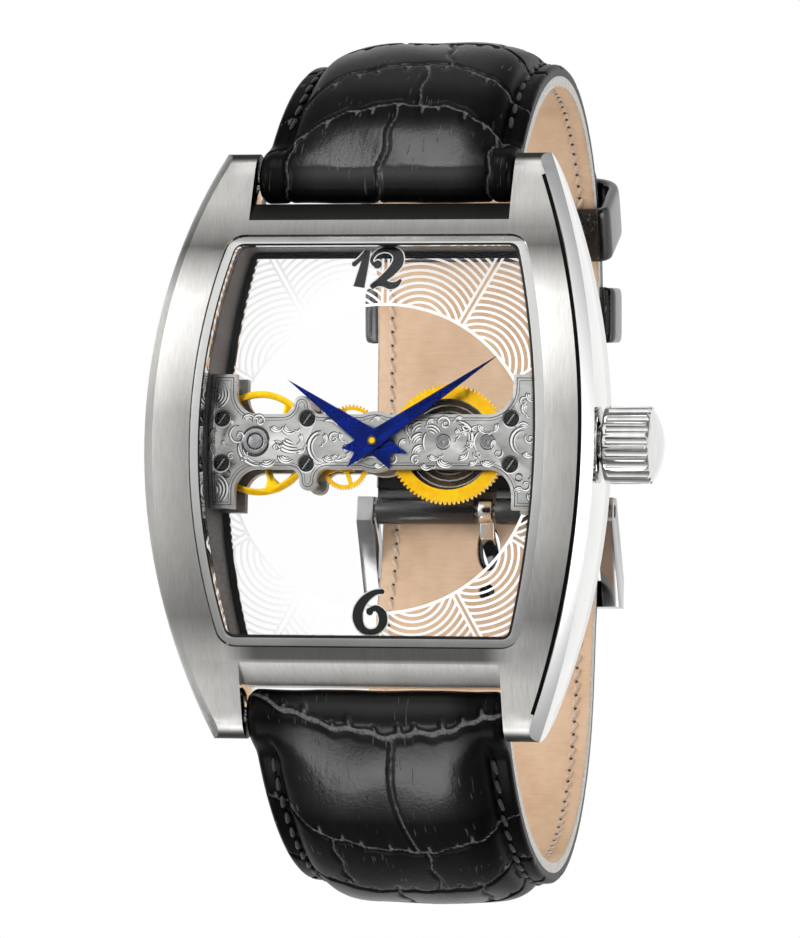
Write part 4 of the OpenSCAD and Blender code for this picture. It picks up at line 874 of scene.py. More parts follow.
def arc(cx, cy, r, start, end, width, grow=1.0, steps=14):
    """A crescent: an arc from start to end in degrees, thickest near its middle, whose radius grows by grow times."""
    points, widths = [], []
    for i in range(steps + 1):
        t = i / steps
        a = math.radians(start + (end - start) * t)
        radius = r * (1 + (grow - 1) * t)
        points.append((cx + radius * math.cos(a), cy + radius * math.sin(a)))
        widths.append(width * math.sin(math.pi * t**0.8) ** 0.8 if 0 < t < 1 else 0.0)
    return points, widths


def through(px_points, px_widths):
    """A smooth line through points of the photograph, with widths in its pixels, as millimetres on the crystal."""
    points, widths, steps = [], [], 6
    known = [from_photo(x, y, NUMERAL_Z) for x, y in px_points]
    last = len(known) - 1
    for i in range(last):
        a, b, c, d = known[max(0, i - 1)], known[i], known[i + 1], known[min(last, i + 2)]
        for k in range(steps + (i == last - 1)):
            t = k / steps
            t2, t3 = t * t, t * t * t
            points.append(tuple(
                0.5 * (2 * q + (r - p) * t + (2 * p - 5 * q + 4 * r - s) * t2 + (3 * q - p - 3 * r + s) * t3)
                for p, q, r, s in zip(a, b, c, d)))
            widths.append((px_widths[i] * (1 - t) + px_widths[i + 1] * t) / PX_PER_MM)
    return points, widths


def dot(px, py, r_px):
    """A round ball terminal at a point of the photograph."""
    x, y = from_photo(px, py, NUMERAL_Z)
    r, turns = r_px / PX_PER_MM, [math.pi * i / 12 for i in range(13)]
    return [(x - r * math.cos(t), y) for t in turns], [2 * r * math.sin(t) for t in turns]


# Sizes and colours that a user would change
class WatchLooks(bpy.types.PropertyGroup):
    """Colours and small sizes of the watch's dressing."""

    hands: StringProperty(name="Hands", description="Colour of the blued hands, in sRGB hex", default="#0b2894")
    wheels: StringProperty(name="Wheels", description="Colour of the gilt wheels, in sRGB hex", default="#ffda24")
    edge_round: FloatProperty(name="Edge rounding", description="Radius of the case's worn edges", default=0.00012,
                              min=0.00002, max=0.0002, unit="LENGTH")
    stitch_pitch: FloatProperty(name="Stitch pitch", description="Distance from stitch to stitch", default=0.0021,
                                min=0.001, max=0.004, unit="LENGTH")
    stitch_length: FloatProperty(name="Stitch length", description="Length of one stitch", default=0.0016,
                                 min=0.0005, max=0.003, unit="LENGTH")
    skin_step: FloatProperty(name="Skin step", description="Grid step of the embossed leather along the strap",
                             default=0.00023, min=0.0001, max=0.001, unit="LENGTH")
    across: IntProperty(name="Skin columns", description="Grid columns of the embossed leather across the strap",
                        default=120, min=20, max=200)


def looks():
    return bpy.context.scene.watch_looks


class WATCH_OT_case(bpy.types.Operator):
    """Rounds the edges of the case, its bezel ring and back, and gives them brushed and polished steel"""

    bl_idname = "watch.case"
    bl_label = "Steel case"

    def execute(self, context):
        width = looks().edge_round / MM
        dress("mid_case", "case_shell", "case", "case", width, 3)
        dress("crystal_ring", "bezel_ring", "ring", "case", 0.05)
        dress("back_frame", "back_ring", "polish", "case", 0.05)
        # painted shade: a dark strip along the crease on the crown side of the face
        crease, reach = 0.32, 22.6
        centre_x = FACE_HALF_W - crease / 2 - FACE_SIDE_R
        side = [(centre_x + math.sqrt(FACE_SIDE_R**2 - y**2), y) for y in even(-reach, reach, 0.6)]
        pen_piece("face_crease_shade", [(side, [crease] * len(side))],
                  lambda x, y: FRONT_C + math.sqrt(FRONT_R**2 - y**2) + 0.008, "seam")
        paint("back_screws crown_tube", "steel")
        paint("movement_holder", "holder")
        paint("back_gasket crystal_gasket", "rubber")
        return {"FINISHED"}


class WATCH_OT_crystals(bpy.types.Operator):
    """Gives the front and back crystals and the dial plate clear glass"""

    bl_idname = "watch.crystals"
    bl_label = "Crystals"

    def execute(self, context):
        paint("front_crystal back_crystal", "sapphire")
        paint("dial_glass", "mineral")
        return {"FINISHED"}


class WATCH_OT_dial_print(bpy.types.Operator):
    """Prints fans of white arcs on the dial glass, round a clear disc"""

    bl_idname = "watch.dial_print"
    bl_label = "Dial print"

    def execute(self, context):
        obj, mesh = top_of("dial_glass", "dial_print")
        bmesh.ops.translate(mesh, verts=mesh.verts, vec=(0, 0, 0.01 * MM))
        bmesh.update_edit_mesh(obj.data)
        bpy.ops.object.mode_set(mode="OBJECT")
        wear(obj, "ink", "case")
        return {"FINISHED"}


# The numerals' strokes in the photograph's pixels, and their widths there
ONE_PX = [(354.5, 263), (360, 257.5), (365.5, 251)], [4.5, 4.5, 5.5]
ONE_STEM_PX = [(366.3, 249.5), (363.5, 266), (359.5, 287.5)], [5.5, 8.5, 11.5]
TWO_PX = ([(373.5, 265), (370.8, 259.5), (374.5, 252.5), (382, 248.8), (390.5, 249.2), (396.8, 254.5), (396.8, 263),
           (390, 272.5), (381, 280.5), (372.5, 287)], [3, 3.2, 4, 5, 7.5, 10.5, 11.5, 9.5, 7, 5])
TWO_FOOT_PX = [(371.5, 288), (377, 284), (384, 283.6), (391, 286), (397, 284.5), (401.5, 279.5)], [4.5, 6, 7, 7.5, 6, 2]
SIX_PX = ([(383.5, 591.8), (375, 593.2), (365.5, 599.5), (358.8, 609), (357.2, 619), (360.5, 628), (368, 631.6),
           (376.5, 629.8), (382, 622.5), (381.8, 614), (376.8, 608.6), (370.5, 609.5)],
          [4, 5.5, 8, 10, 10.5, 8, 5.5, 6, 8.5, 9, 6, 5])
BALLS_PX = [(353.8, 263.4, 2.7), (377, 264, 4.4), (383, 592, 2.4), (369.5, 611.5, 3.6)]


class WATCH_OT_numerals(bpy.types.Operator):
    """Prints 12 and 6 in black under the crystal, each on a thin white halo"""

    bl_idname = "watch.numerals"
    bl_label = "Numerals"

    def execute(self, context):
        strokes = [through(*px) for px in (ONE_PX, ONE_STEM_PX, TWO_PX, TWO_FOOT_PX, SIX_PX)]
        strokes += [dot(*ball) for ball in BALLS_PX]
        wide = [(points, [w + 0.2 for w in widths]) for points, widths in strokes]

        def under(depth):
            return lambda x, y: FRONT_C + math.sqrt(CRYSTAL_LOW_R**2 - y**2) - depth

        pen_piece("numeral_halo", wide, under(0.025), "halo")
        pen_piece("numerals", strokes, under(0.015), "numeral")
        return {"FINISHED"}


def one(*cut):
    """A single cut."""
    return [cut]


def nest(x, y, r, start, end, width, count, step, growth=1.15):
    """Arcs within each other, each smaller by step."""
    shares = [1 - step * i for i in range(count)]
    return [(x, y, r * k, start + 6 * i, end - 6 * i, width * (0.6 + 0.4 * k), growth) for i, k in enumerate(shares)]


def leaf(x, y, r, turn, width, flip=1):
    """A comma with two smaller lobes behind it, and its stalk."""
    lobes = [(x, y, r * k, turn, turn + flip * (150 - 25 * i), width * (0.5 + 0.5 * k), 1.25)
             for i, k in enumerate((1.0, 0.68, 0.42))]
    a, out_by = math.radians(turn + flip * 150), r * 1.3
    return lobes + [(x + out_by * math.cos(a), y + out_by * math.sin(a), r * 0.35, turn + flip * 200, turn - flip * 10,
                     width * 0.6, 1.0)]


def scroll(x, y, r, turn, width, flip=1):
    """A C-scroll: a shrinking spiral with a bud at its heart."""
    return [(x, y, r, turn, turn + flip * 250, width, 0.55),
            (x, y, r * 0.62, turn + flip * 190, turn + flip * 400, width * 0.8, 0.5),
            (x + 0.1 * r, y, r * 0.2, 0, 300, width * 0.5, 0.9)]


# The bridge's acanthus engraving, from its left foot to its right foot, in millimetres and degrees: each motif with its
# sizes, in the order that the functions above take them. one() is a cut of (x, y, radius, start, end, width, growth).
ENGRAVING = [
    # left foot, its upper and lower corners
    (nest, -13.8, 3.9, 1.1, -75, 60, 0.22, 4, 0.22), (nest, -13.85, -4.1, 1.25, -55, 85, 0.24, 4, 0.22),
    (leaf, -13.5, 0.62, 0.5, 100, 0.18), (leaf, -13.5, -0.55, 0.5, -100, 0.18, -1),
    (leaf, -12.75, 0.0, 0.3, 150, 0.12),
    # round the balance's setting
    (scroll, -11.7, 0.5, 0.85, 80, 0.22), (scroll, -9.9, 1.75, 0.6, 200, 0.18, -1),
    (leaf, -10.9, 1.7, 0.5, 160, 0.17, -1), (one, -9.95, -0.2, 1.75, 175, 285, 0.26, 1.05),
    (one, -9.9, -0.2, 1.45, 190, 268, 0.14, 1.05), (nest, -9.3, -1.3, 0.75, 220, 350, 0.2, 3, 0.25),
    (leaf, -11.4, -1.15, 0.42, 250, 0.16), (leaf, -12.3, 1.35, 0.36, 30, 0.14),
    (scroll, -12.3, -1.25, 0.36, 0, 0.13),
    # between the setting and the second pair of screws
    (leaf, -8.5, 1.45, 0.52, 200, 0.2), (leaf, -7.4, 1.35, 0.6, 190, 0.22),
    (nest, -7.2, 0.9, 1.6, 215, 300, 0.3, 4, 0.16), (nest, -7.6, -1.0, 0.7, 190, 330, 0.22, 3, 0.25),
    (scroll, -8.4, -0.4, 0.5, 120, 0.17, -1), (leaf, -6.5, -0.55, 0.42, 240, 0.16),
    (leaf, -6.6, 0.35, 0.36, 60, 0.15, -1),
    # the long S up to the hub
    (one, -4.3, -0.35, 1.3, 100, 262, 0.3, 1.1), (one, -4.3, -0.35, 1.02, 110, 250, 0.16, 1.1),
    (one, -4.0, 0.9, 0.9, 120, 20, 0.26, 1.0), (leaf, -3.9, -1.05, 0.55, 200, 0.2),
    (leaf, -3.2, -1.0, 0.5, 190, 0.2), (leaf, -4.6, 0.35, 0.45, 60, 0.17, -1), (scroll, -3.5, 0.3, 0.5, 20, 0.18),
    (leaf, -2.6, 0.55, 0.42, 140, 0.16), (scroll, -2.4, -0.55, 0.48, 250, 0.18),
    (leaf, -5.0, -1.55, 0.34, 160, 0.14), (nest, -3.4, 1.4, 0.55, 20, 150, 0.18, 3, 0.28),
    (leaf, -1.7, -1.25, 0.42, 200, 0.17), (leaf, -1.9, 1.3, 0.36, 60, 0.14),
    # below the hub
    (one, -0.3, -2.2, 0.95, 150, 40, 0.24, 1.0), (leaf, 0.3, -1.7, 0.4, 200, 0.18),
    (scroll, 1.45, -1.45, 0.5, 90, 0.2, -1), (leaf, 0.2, 1.7, 0.36, 30, 0.14),
    # fans right of the hub
    (nest, 4.15, 0.6, 1.15, 95, 178, 0.24, 3, 0.2), (nest, 4.15, -0.25, 1.0, 95, 178, 0.24, 3, 0.2),
    (nest, 4.15, -1.1, 0.85, 95, 178, 0.24, 3, 0.2), (leaf, 3.3, 1.15, 0.6, 110, 0.22),
    (leaf, 2.6, -0.2, 0.42, 80, 0.17),
    # round the barrel's jewel
    (scroll, 5.9, 1.55, 0.62, 190, 0.22, -1), (one, 6.9, 0.4, 1.35, 95, -70, 0.3, 1.05),
    (one, 6.9, 0.4, 1.08, 80, -55, 0.16, 1.05), (nest, 6.0, -1.35, 0.7, 180, 330, 0.22, 3, 0.24),
    (leaf, 7.3, -0.95, 0.55, 250, 0.22), (leaf, 6.7, 0.75, 0.45, 70, 0.17, -1), (leaf, 4.9, 1.5, 0.4, 60, 0.15),
    (scroll, 8.05, -0.1, 0.42, 200, 0.15), (leaf, 7.9, 1.45, 0.48, 170, 0.18), (leaf, 8.2, -1.5, 0.42, 240, 0.17),
    (nest, 4.7, 0.35, 0.95, 20, 120, 0.2, 3, 0.25), (leaf, 5.0, -0.95, 0.5, 200, 0.2),
    (leaf, 4.4, -1.75, 0.5, 190, 0.18), (scroll, 3.5, -1.5, 0.45, 30, 0.18), (leaf, 7.6, 0.45, 0.4, 20, 0.16),
    (leaf, 7.2, 1.75, 0.34, 40, 0.14), (one, 5.9, 0.0, 1.75, 150, 215, 0.2, 1.0),
    (one, 9.6, 0.0, 1.15, 120, 240, 0.2, 1.0), (leaf, 8.6, 0.85, 0.4, 210, 0.16, -1),
    (scroll, 8.75, -1.0, 0.4, 150, 0.15),
    # right of the winding jewel
    (leaf, 9.3, 1.35, 0.5, 160, 0.19), (leaf, 10.0, 1.4, 0.45, 30, 0.16, -1),
    (nest, 9.6, -1.35, 0.62, 200, 340, 0.22, 3, 0.26), (leaf, 10.35, -0.2, 0.4, 90, 0.16),
    (scroll, 10.5, -0.95, 0.42, 60, 0.15, -1),
    # right foot
    (one, 12.75, 0.1, 1.15, 80, 265, 0.28, 1.05), (one, 12.75, 0.1, 0.88, 95, 250, 0.15, 1.05),
    (leaf, 12.6, 1.05, 0.5, 20, 0.18), (leaf, 13.0, -0.7, 0.5, 200, 0.2), (scroll, 13.15, 0.3, 0.45, 120, 0.17),
    (leaf, 13.0, 2.9, 0.5, 120, 0.19), (leaf, 13.3, 4.0, 0.5, 160, 0.19), (scroll, 12.6, 3.4, 0.4, 30, 0.15),
    (leaf, 13.4, -2.7, 0.45, 220, 0.18), (scroll, 12.9, -3.6, 0.5, 180, 0.18), (leaf, 13.5, -4.4, 0.45, 160, 0.17),
    (nest, 12.4, -4.3, 0.5, 60, 170, 0.16, 3, 0.28),
]


# Screw heads, as (x, y, radius), and dark rings of painted shade round the settings, as (x, y, radius, width)
SCREWS = [(x, side * y, 0.65) for x, y in ((-13.1, 1.88), (-5.8, 1.89), (11.55, 1.92)) for side in (-1, 1)]
RINGS = [(-10.2, 0, 1.15, 0.34), (-10.2, 0, 0.66, 0.1), (5.85, 0, 0.62, 0.12), (9.6, 0, 0.62, 0.12),
         (12.3, -2.95, 0.3, 0.14), (-12.6, -2.75, 0.3, 0.14)]


class WATCH_OT_bridge(bpy.types.Operator):
    """Bevels the bar bridge and draws its rim lines and engraved scrolls in painted shade and highlight; dark screws
    and grey jewels stand in it
    """

    bl_idname = "watch.bridge"
    bl_label = "Engraved bridge"

    def execute(self, context):
        dress("train_bridge", "bar_bridge", "bridge", "case", 0.16)
        rim_lines()

        def top(depth):
            return lambda x, y: BRIDGE_TOP + depth

        strokes, shades = [], []
        # each cut is drawn flat: a dark ribbon of painted shade and, on it, a narrower bright ribbon of painted
        # highlight, shifted a little to the lower right
        for motif, *sizes in ENGRAVING:
            for x, y, r, start, end, width, growth in motif(*sizes):
                wide, run = width * 1.15 + 0.05, end - start
                shades.append(arc(x, y, r, start, end, wide, growth))
                strokes.append(arc(x + 0.035, y - 0.04, r, start + run * 0.06, end - run * 0.04, wide * 0.52, growth))
        # round each screw, a crescent of painted shade on one side and of painted highlight on the other
        for x, y, r in SCREWS:
            shades.append(arc(x, y, r + 0.1, 20, 200, 0.1))
            strokes.append(arc(x, y, r + 0.07, 200, 380, 0.1))
        # dark rings of painted shade round the settings
        for x, y, r, width in RINGS:
            shades += [arc(x, y, r, start, start + 180, width, 1.0, 20) for start in (0, 180)]
        # each slot is drawn as a lighter steel line, a painted highlight
        slots = [([(x - 0.3, y - 0.43), (x + 0.3, y + 0.43)], [0.1, 0.1]) for x, y, _ in SCREWS]
        pen_piece("screw_slot_highlights", slots, top(0.086), "steel")
        pen_piece("scroll_shades", shades, top(0.006), "shade")
        pen_piece("scroll_cut_highlights", strokes, top(0.012), "cut")
        paint("main_plate hairspring_stud", "plate")
        paint("bridge_screws", "screw")
        paint("bridge_jewels", "jewel")
        paint("plate_jewels pallet_stones", "ruby")
        dress("shock_setting", "shock_seat", "steel", "case", 0.03)
        return {"FINISHED"}


def rim_lines():
    """Draws two fine dark lines of painted shade that follow the bridge's outline, inside its edge."""
    flat, mesh = top_of("train_bridge", "outline")
    bmesh.ops.dissolve_limit(mesh, angle_limit=0.01, verts=mesh.verts, edges=mesh.edges)
    # the longest loop is the outline; the bores are left out
    rims = [e for e in mesh.edges if e.is_boundary]
    loops, seen = [], set()
    for edge in rims:
        if edge in seen:
            continue
        loop, here, run = [], edge.verts[0], edge
        while run and run not in seen:
            seen.add(run)
            loop.append((here.co.x / MM, here.co.y / MM))
            here = run.other_vert(here)
            run = next((e for e in here.link_edges if e.is_boundary and e not in seen), None)
        loops.append(loop)
    bpy.ops.object.mode_set(mode="OBJECT")
    bpy.data.objects.remove(flat)
    outline = max(loops, key=lambda pts: sum(math.dist(a, b) for a, b in zip(pts, pts[1:])))
    area = sum(a[0] * b[1] - b[0] * a[1] for a, b in zip(outline, outline[1:] + outline[:1]))
    if area < 0:
        outline.reverse()
    dense = []
    for a, b in zip(outline, outline[1:] + outline[:1]):
        count = max(1, int(math.dist(a, b) / 0.12))
        dense += [(a[0] + (b[0] - a[0]) * k / count, a[1] + (b[1] - a[1]) * k / count) for k in range(count)]
    strokes, count = [], len(dense)
    for inset, width in ((0.3, 0.07), (0.52, 0.045)):
        line = []
        for i in range(count):
            ax, ay = dense[i - 3]
            bx, by = dense[(i + 3) % count]
            length = math.hypot(bx - ax, by - ay) or 1.0
            px, py = dense[i][0] - (by - ay) / length * inset, dense[i][1] + (bx - ax) / length * inset
            if min(math.hypot(px - q[0], py - q[1]) for q in dense[::2]) > inset * 0.93:
                line.append((px, py))
        line.append(line[0])
        strokes.append((line, [width] * len(line)))
    pen_piece("rim_lines", strokes, lambda x, y: BRIDGE_TOP + 0.005, "shade")


class WATCH_OT_movement(bpy.types.Operator):
    """Gives the wheels gilt brass and the springs, staffs and winding parts steel"""

    bl_idname = "watch.movement"
    bl_label = "Wheels and springs"

    def execute(self, context):
        paint("centre_wheel third_wheel fourth_wheel escape_wheel minute_wheel hour_wheel barrel_cover cannon_pinion",
              "gold")
        paint("barrel_drum", "drum")
        paint("mainspring hairspring click_spring click stem winding_pinion balance_staff pallet_fork barrel_arbor "
              "ratchet_wheel crown_wheel roller spring_bar_12 spring_bar_6", "steel")
        paint("crown_gasket", "rubber")
        cannon_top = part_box("cannon_pinion")[1].z / MM
        radius, width = 0.33, 0.16
        halves = [arc(0, 0, radius, start, start + 180, width, 1.0, 16)[0] for start in (0, 180)]
        ring = pen_piece("hub_ring", [(points, [width] * len(points)) for points in halves],
                         lambda x, y: cannon_top + 0.006, "shade")
        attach(ring, "minute_arbor")
        dress("balance_wheel", "balance_rim", "gold", "balance", 0.05)
        return {"FINISHED"}


class WATCH_OT_hands(bpy.types.Operator):
    """Rounds the hour and minute hands and blues them"""

    bl_idname = "watch.hands"
    bl_label = "Blued hands"

    def execute(self, context):
        dress("hour_hand", "hour_blade", "blue", "hour_pipe", 0.05)
        dress("minute_hand", "minute_blade", "blue", "minute_arbor", 0.05)
        return {"FINISHED"}


class WATCH_OT_crown(bpy.types.Operator):
    """Rounds the fluted crown and polishes it"""

    bl_idname = "watch.crown"
    bl_label = "Fluted crown"

    def execute(self, context):
        dress("crown", "fluted_crown", "polish", "crown_stem", 0.07)
        return {"FINISHED"}


def drill(obj, slot_r):
    """Cuts the tongue's slot and the free hole through a layer of the lower strap."""
    for y, r, stretch in ((SLOT_Y, slot_r, SLOT_STRETCH), (HOLE_Y, HOLE_R, 1.0)):
        bpy.ops.object.select_all(action="DESELECT")
        bpy.ops.mesh.primitive_cylinder_add(vertices=40, radius=r * MM, depth=12 * MM,
                                            location=(0, y * MM, (LOOP_LOW_Z - 4) * MM))
        cutter = bpy.context.object
        cutter.scale = (1, stretch, 1)
        bpy.ops.object.transform_apply(location=True, rotation=True, scale=True)
        only(obj)
        modified(obj, "BOOLEAN", operation="DIFFERENCE", solver="EXACT", object=cutter)
        bpy.data.objects.remove(cutter)


def under_edge(w, half, s):
    """Height of the stitch channel on the padded face."""
    return pad_height(w, half, leather_t(s)) + 0.1


def over_lining(w, half, s):
    """Height of the lining's stitches."""
    return -0.02


def edges(piece, stations, width, shift):
    """The painted edge between the leather and its lining: a low bead along both sides."""
    parts, ring = [], 8
    for side in (-1, 1):
        obj = sheet(ring, stations)
        for v in obj.data.vertices:
            i, s = v.index % (ring + 1), stations[v.index // (ring + 1)]
            a = math.pi * (i / ring - 0.5)
            x = side * (width(s) / 2 - 0.05 + 0.1 * math.cos(a))
            y, z = loop_point(s, 0.55 + 0.5 * math.sin(a) + shift(s))
            v.co = (x * MM, y * MM, z * MM)
        parts.append(obj)
    obj = join(parts, piece)
    outward(obj)
    modified(obj, "SOLIDIFY", thickness=0.06 * MM)
    bpy.ops.object.shade_smooth()
    return wear(obj, "edge", "case")


def sew(half, cad, width, shift, rows, skin_run, lining_run, edge_run, seam_run, slotted=False):
    """One half of the strap: embossed leather, lining, painted edge and seams. A run is a start and end on the path."""
    skin = strap_skin(half + "_strap", even(*skin_run, looks().skin_step / MM), width, shift, rows, looks().across)
    lining = lining_skin(half + "_lining", even(*lining_run, LINING_STEP), width, shift)
    if slotted:
        drill(skin, SLOT_R)
        drill(lining, LINING_SLOT_R)
    wear(skin, "hide", "case", [cad])
    wear(lining, "lining", "case", [cad + "_lining"])
    edges(half + "_edge", even(*edge_run, LINING_STEP), width, shift)
    pitch, length = looks().stitch_pitch / MM, looks().stitch_length / MM
    # the stitches lie closer on the lining; a needle hole is seen beside each
    close, low, high = pitch * 0.6, *seam_run
    for seam, start, end, step, long, thick, depth, lean, thread, slot in (
            ("stitches", low, high, pitch, length, 0.42, under_edge, 0.12, "black_thread", "leather_black"),
            ("lining_stitches", low, high, close, length * 0.78, 0.4, over_lining, 0.42, "pale_thread",
             "leather_lining"),
            ("needle_holes", low - close / 2, high - close / 2, close, length * 0.18, 0.2, over_lining, 0.9,
             "black_thread", "leather_lining")):
        place = thread_place(width, depth, shift, lean)
        spans = [(start, end, side) for side in (-1, 1)]
        wear(stitches(f"{half}_{seam}", spans, step, long, thick, place), thread, "case")


class WATCH_OT_strap_12(bpy.types.Operator):
    """Sews the padded and embossed upper strap with its lining"""

    bl_idname = "watch.strap_12"
    bl_label = "Upper strap"

    def execute(self, context):
        # the roll round the buckle's bar
        eye = softened("strap_12", "hinge_roll", 0.08)
        edited((bpy.ops.mesh.bisect, {"plane_co": (0, 0.6 * MM, 0), "plane_no": (0, 1, 0), "clear_outer": True,
                                      "use_fill": True}))
        wear(eye, "band", "case")
        sew("upper", "strap_12", leather_w, flat_shift, ROWS_12, (0.4, BAR_S + EYE_R * 2.5), (2.0, BAR_S - 3.6),
            (0.6, BAR_S - 0.6), (6, BAR_S - 5))
        return {"FINISHED"}


class WATCH_OT_strap_6(bpy.types.Operator):
    """Sews the padded and embossed lower strap with its lining, tail and holes"""

    bl_idname = "watch.strap_6"
    bl_label = "Lower strap"

    def execute(self, context):
        sew("lower", "strap_6", tail_width, outer_layer, ROWS_6, (-(BAR_S + EYE_R * 2.5), TAIL_S - 0.2),
            (-(BAR_S - 3.6), TAIL_S - 0.4), (-(BAR_S - 0.6), TAIL_S - 0.6), (-BAR_S + 4, TAIL_S - 5), slotted=True)
        return {"FINISHED"}


class WATCH_OT_keepers(bpy.types.Operator):
    """Folds the fixed and the loose keeper round the strap; the fixed one is sewn in under the lining"""

    bl_idname = "watch.keepers"
    bl_label = "Keepers"

    def execute(self, context):
        # node, piece, body, distance along the path, and height of the side that lies inside the loop
        for name, piece, body, s, low in (("keeper_fixed", "fixed_keeper", "case", 16.3, 0.36),
                                          ("keeper_free", "loose_keeper_band", "loose_keeper", 24.0, -1.3)):
            high = leather_t(s + BAND_L / 2) * 2 + LAYER_GAP + 0.3 + BAND_T
            obj = band(piece, s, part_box(name)[1].x / MM, low, high)
            wear(obj, "band", body, [name])
        return {"FINISHED"}


def band(piece, s, half, low, high):
    """A folded leather band round the strap at s: a rounded section swept round a rounded oblong."""
    mid_half, mid_low, mid_high = half - BAND_T / 2, low + BAND_T / 2 if low < 0 else low, high - BAND_T / 2
    # its corners are rounder on the outside of the loop
    wide, tight = 2.2, 0.8
    path, steps = [], 10
    for side, d, start, r in ((1, mid_high - wide, 0, wide), (-1, mid_high - wide, 90, wide),
                              (-1, mid_low + tight, 180, tight), (1, mid_low + tight, 270, tight)):
        for k in range(steps + 1):
            a = math.radians(start + 90 * k / steps)
            path.append((side * (mid_half - r) + r * math.cos(a), d + r * math.sin(a)))
    section, count = [], 28
    for k in range(count):
        a = 2 * math.pi * k / count
        cos_a, sin_a = math.cos(a), math.sin(a)
        section.append((BAND_L / 2 * math.copysign(abs(cos_a) ** 0.28, cos_a),
                        BAND_T / 2 * math.copysign(abs(sin_a) ** 0.6, sin_a)))
    bpy.ops.object.select_all(action="DESELECT")
    bpy.ops.mesh.primitive_torus_add(major_segments=len(path), minor_segments=count, major_radius=1, minor_radius=0.1)
    obj = bpy.context.object
    a0 = half_turn(s)
    y0, z0 = half_point(s)
    for v in obj.data.vertices:
        k, m = divmod(v.index, count)
        x, d = path[k]
        ax, ad = path[k - 1]
        bx, bd = path[(k + 1) % len(path)]
        run = math.hypot(bx - ax, bd - ad) or 1.0
        along, out_by = section[m]
        # a keeper that starts above the lining is sewn in there, and skived
        thin = 0.28 if low > 0 and d < mid_low + 0.2 else 1.0
        x += (bd - ad) / run * out_by * thin
        d -= (bx - ax) / run * out_by * thin
        if thin < 1:
            y, z = loop_point(s + along, d)
        else:
            y, z = y0 + d * math.cos(a0) - along * math.sin(a0), z0 + d * math.sin(a0) + along * math.cos(a0)
        v.co = (x * MM, y * MM, z * MM)
    outward(obj)
    bpy.ops.object.shade_smooth()
    obj.name = obj.data.name = piece
    return obj


class WATCH_OT_buckle(bpy.types.Operator):
    """Rounds and polishes the buckle's frame and tongue, and gives its bar steel"""

    bl_idname = "watch.buckle"
    bl_label = "Pin buckle"

    def execute(self, context):
        # the frame's darker grey steel is painted shade
        dress("buckle_frame", "buckle_bow", "worn", "case", 0.3, 4)
        dress("buckle_tongue", "buckle_prong", "polish", "tongue", 0.15, 3)
        paint("buckle_bar", "steel")
        return {"FINISHED"}


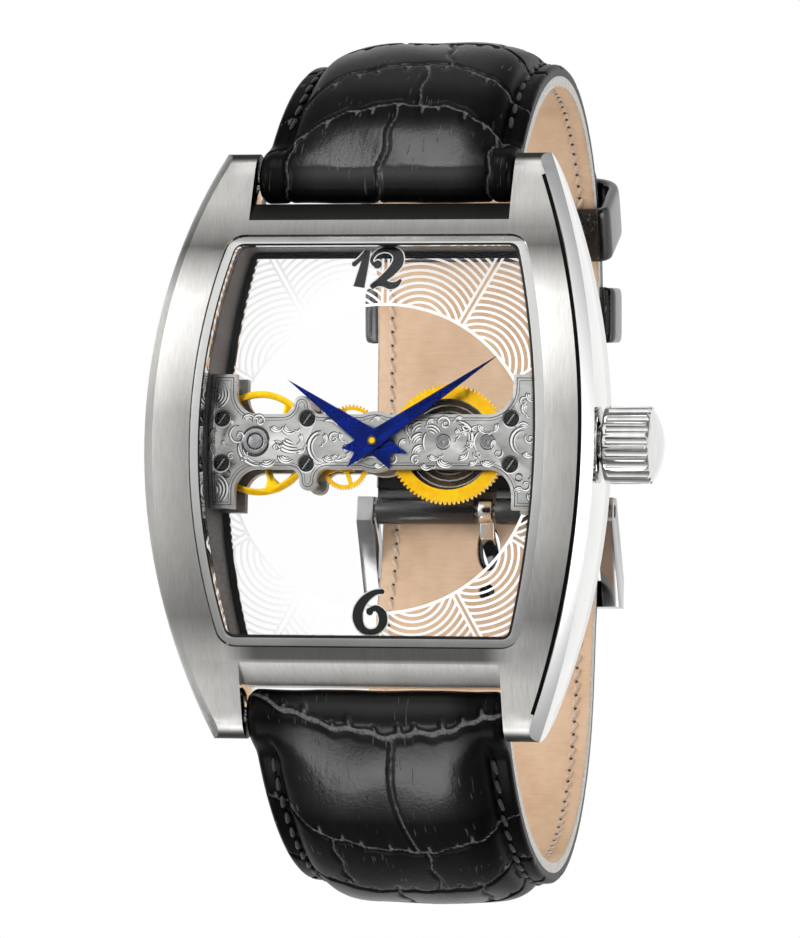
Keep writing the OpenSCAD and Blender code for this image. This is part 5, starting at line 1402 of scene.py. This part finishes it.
class WATCH_OT_stage(bpy.types.Operator):
    """Puts up the floor, the soft lamps, the white surroundings and the camera"""

    bl_idname = "watch.stage"
    bl_label = "Studio"

    def execute(self, context):
        scene = context.scene
        bpy.ops.object.select_all(action="DESELECT")
        bpy.ops.mesh.primitive_plane_add(size=4, location=(0, 0, FLOOR_Z * MM))
        floor = bpy.context.object
        bpy.ops.object.transform_apply(location=True, rotation=True, scale=True)
        floor.name = floor.data.name = "floor"
        finish, tree, place = new_finish("matt_white_paper")
        tooth = grain(tree, place["Object"], 0.8)
        paper = node(tree, "BsdfPrincipled", None, Roughness=0.9,
                     Base_Color=ramp(tree, tooth, [(0.3, "#e9e9e8"), (0.7, "#efefee")]))
        white = node(tree, "Emission", None, Color=linear("#ffffff"), Strength=1.0)
        # beyond the sheet the bench is dark, which only reflections see: it keeps the strap's ends black
        _, y, _ = axes_of(tree, place["Object"])
        bench = smooth_range(tree, sums(tree, "ABSOLUTE", y), 38 * MM, 70 * MM, 1.0, 0.22)
        bench = node(tree, "Emission", None, Color=linear("#ffffff"), Strength=bench)
        rays = node(tree, "LightPath")
        glossy = rays.outputs["Is Glossy Ray"]
        white = mix_shaders(tree, glossy, white, bench)
        seen = highest(tree, rays.outputs["Is Camera Ray"], rays.outputs["Is Transmission Ray"], glossy)
        out(tree, mix_shaders(tree, seen, paper, white).outputs[0])
        floor.data.materials.append(finish)

        world = bpy.data.worlds.new("studio")
        scene.world = world
        world.use_nodes = True
        tree = world.node_tree
        tree.nodes.clear()
        rays = node(tree, "LightPath")
        seen = highest(tree, rays.outputs["Is Camera Ray"], rays.outputs["Is Transmission Ray"])
        x, y, z = axes_of(tree, node(tree, "TexCoord").outputs["Generated"])
        # a tent: greyer towards both ends of the case, so that its arched face shades off, and white at the sides
        ends = ramp(tree, sums(tree, "MULTIPLY_ADD", y, 0.5, 0.5),
                    [(0.04, "#5a5a5a"), (0.17, "#a0a0a0"), (0.28, "#9a9a9a"), (0.45, "#cecece"), (0.6, "#e8e8e8"),
                     (0.72, "#ffffff"), (0.86, "#f0f0f0"), (0.96, "#585858")])
        sides = smooth_range(tree, sums(tree, "ABSOLUTE", x), 0.5, 0.8)
        tent = mix(tree, sides, ends, linear("#f4f4f4"))
        # a narrow black card high on the right draws the dark line along the case's right edge
        card = times(tree, smooth_range(tree, x, 0.24, 0.32), smooth_range(tree, x, 0.84, 0.78),
                     smooth_range(tree, z, 0.3, 0.4))
        tent = mix(tree, card, tent, linear("#161616"))
        soft = node(tree, "Background", None, Color=tent, Strength=1.35)
        white = node(tree, "Background", None, Color=linear("#ffffff"), Strength=1.0)
        node(tree, "OutputWorld", None, Surface=mix_shaders(tree, seen, soft, white).outputs[0])

        # each lamp's name, place in metres, size and power; all face the watch
        lamps = (("left_box", (-0.45, 0.1, 0.35), 0.3, 1.1), ("top_box", (-0.06, 0.59, 0.16), 0.2, 0.55),
                 ("right_box", (0.55, -0.15, 0.3), 0.3, 0.9), ("low_box", (-0.09, -0.58, 0.13), 0.26, 0.8))
        for name, spot, size, power in lamps:
            bpy.ops.object.select_all(action="DESELECT")
            bpy.ops.object.light_add(type="AREA", location=spot)
            lamp = bpy.context.object
            lamp.name = name
            lamp.data.shape, lamp.data.size, lamp.data.energy = "SQUARE", size, power
            lamp.rotation_euler = (-Vector(spot)).to_track_quat("-Z", "Y").to_euler()

        right, up, toward = view_axes()
        across, down = ((PICTURE[k] / 2 - HUB_PX[k]) / PX_PER_MM for k in (0, 1))
        aim = Vector((0, 0, HUB_Z)) + right * across - up * down
        data = bpy.data.cameras.new("photograph_view")
        camera = bpy.data.objects.new("photograph_view", data)
        scene.collection.objects.link(camera)
        data.sensor_fit, data.sensor_width = "HORIZONTAL", 36
        data.lens = data.sensor_width * VIEW_FAR / (PICTURE[0] / PX_PER_MM)
        data.clip_start, data.clip_end = 0.05, 20
        turn = Matrix((right, up, toward)).transposed().to_4x4()
        camera.matrix_world = Matrix.Translation((aim + toward * VIEW_FAR) * MM) @ turn
        scene.camera = camera
        scene.view_settings.view_transform = "Standard"
        return {"FINISHED"}


STEPS = (WATCH_OT_case, WATCH_OT_crystals, WATCH_OT_dial_print, WATCH_OT_numerals, WATCH_OT_bridge, WATCH_OT_movement,
         WATCH_OT_hands, WATCH_OT_crown, WATCH_OT_strap_12, WATCH_OT_strap_6, WATCH_OT_keepers, WATCH_OT_buckle,
         WATCH_OT_stage)


class WATCH_PT_panel(bpy.types.Panel):
    """Lists the watch's sizes and colours, and a button for each step"""

    bl_idname = "WATCH_PT_panel"
    bl_label = "Watch"
    bl_space_type = "VIEW_3D"
    bl_region_type = "UI"
    bl_category = "Watch"

    def draw(self, context):
        for name in ("hands", "wheels", "edge_round", "stitch_pitch", "stitch_length", "skin_step", "across"):
            self.layout.prop(looks(), name)
        for step in STEPS:
            self.layout.operator(step.bl_idname)


def register():
    for kind in (WatchLooks, *STEPS, WATCH_PT_panel):
        bpy.utils.register_class(kind)
    bpy.types.Scene.watch_looks = PointerProperty(type=WatchLooks)


def unregister():
    del bpy.types.Scene.watch_looks
    for kind in reversed((WatchLooks, *STEPS, WATCH_PT_panel)):
        bpy.utils.unregister_class(kind)


def main():
    register()
    make_finishes(looks())
    for step in STEPS:
        area, action = step.bl_idname.split(".")
        getattr(getattr(bpy.ops, area), action)()


if __name__ == "__main__":
    main()
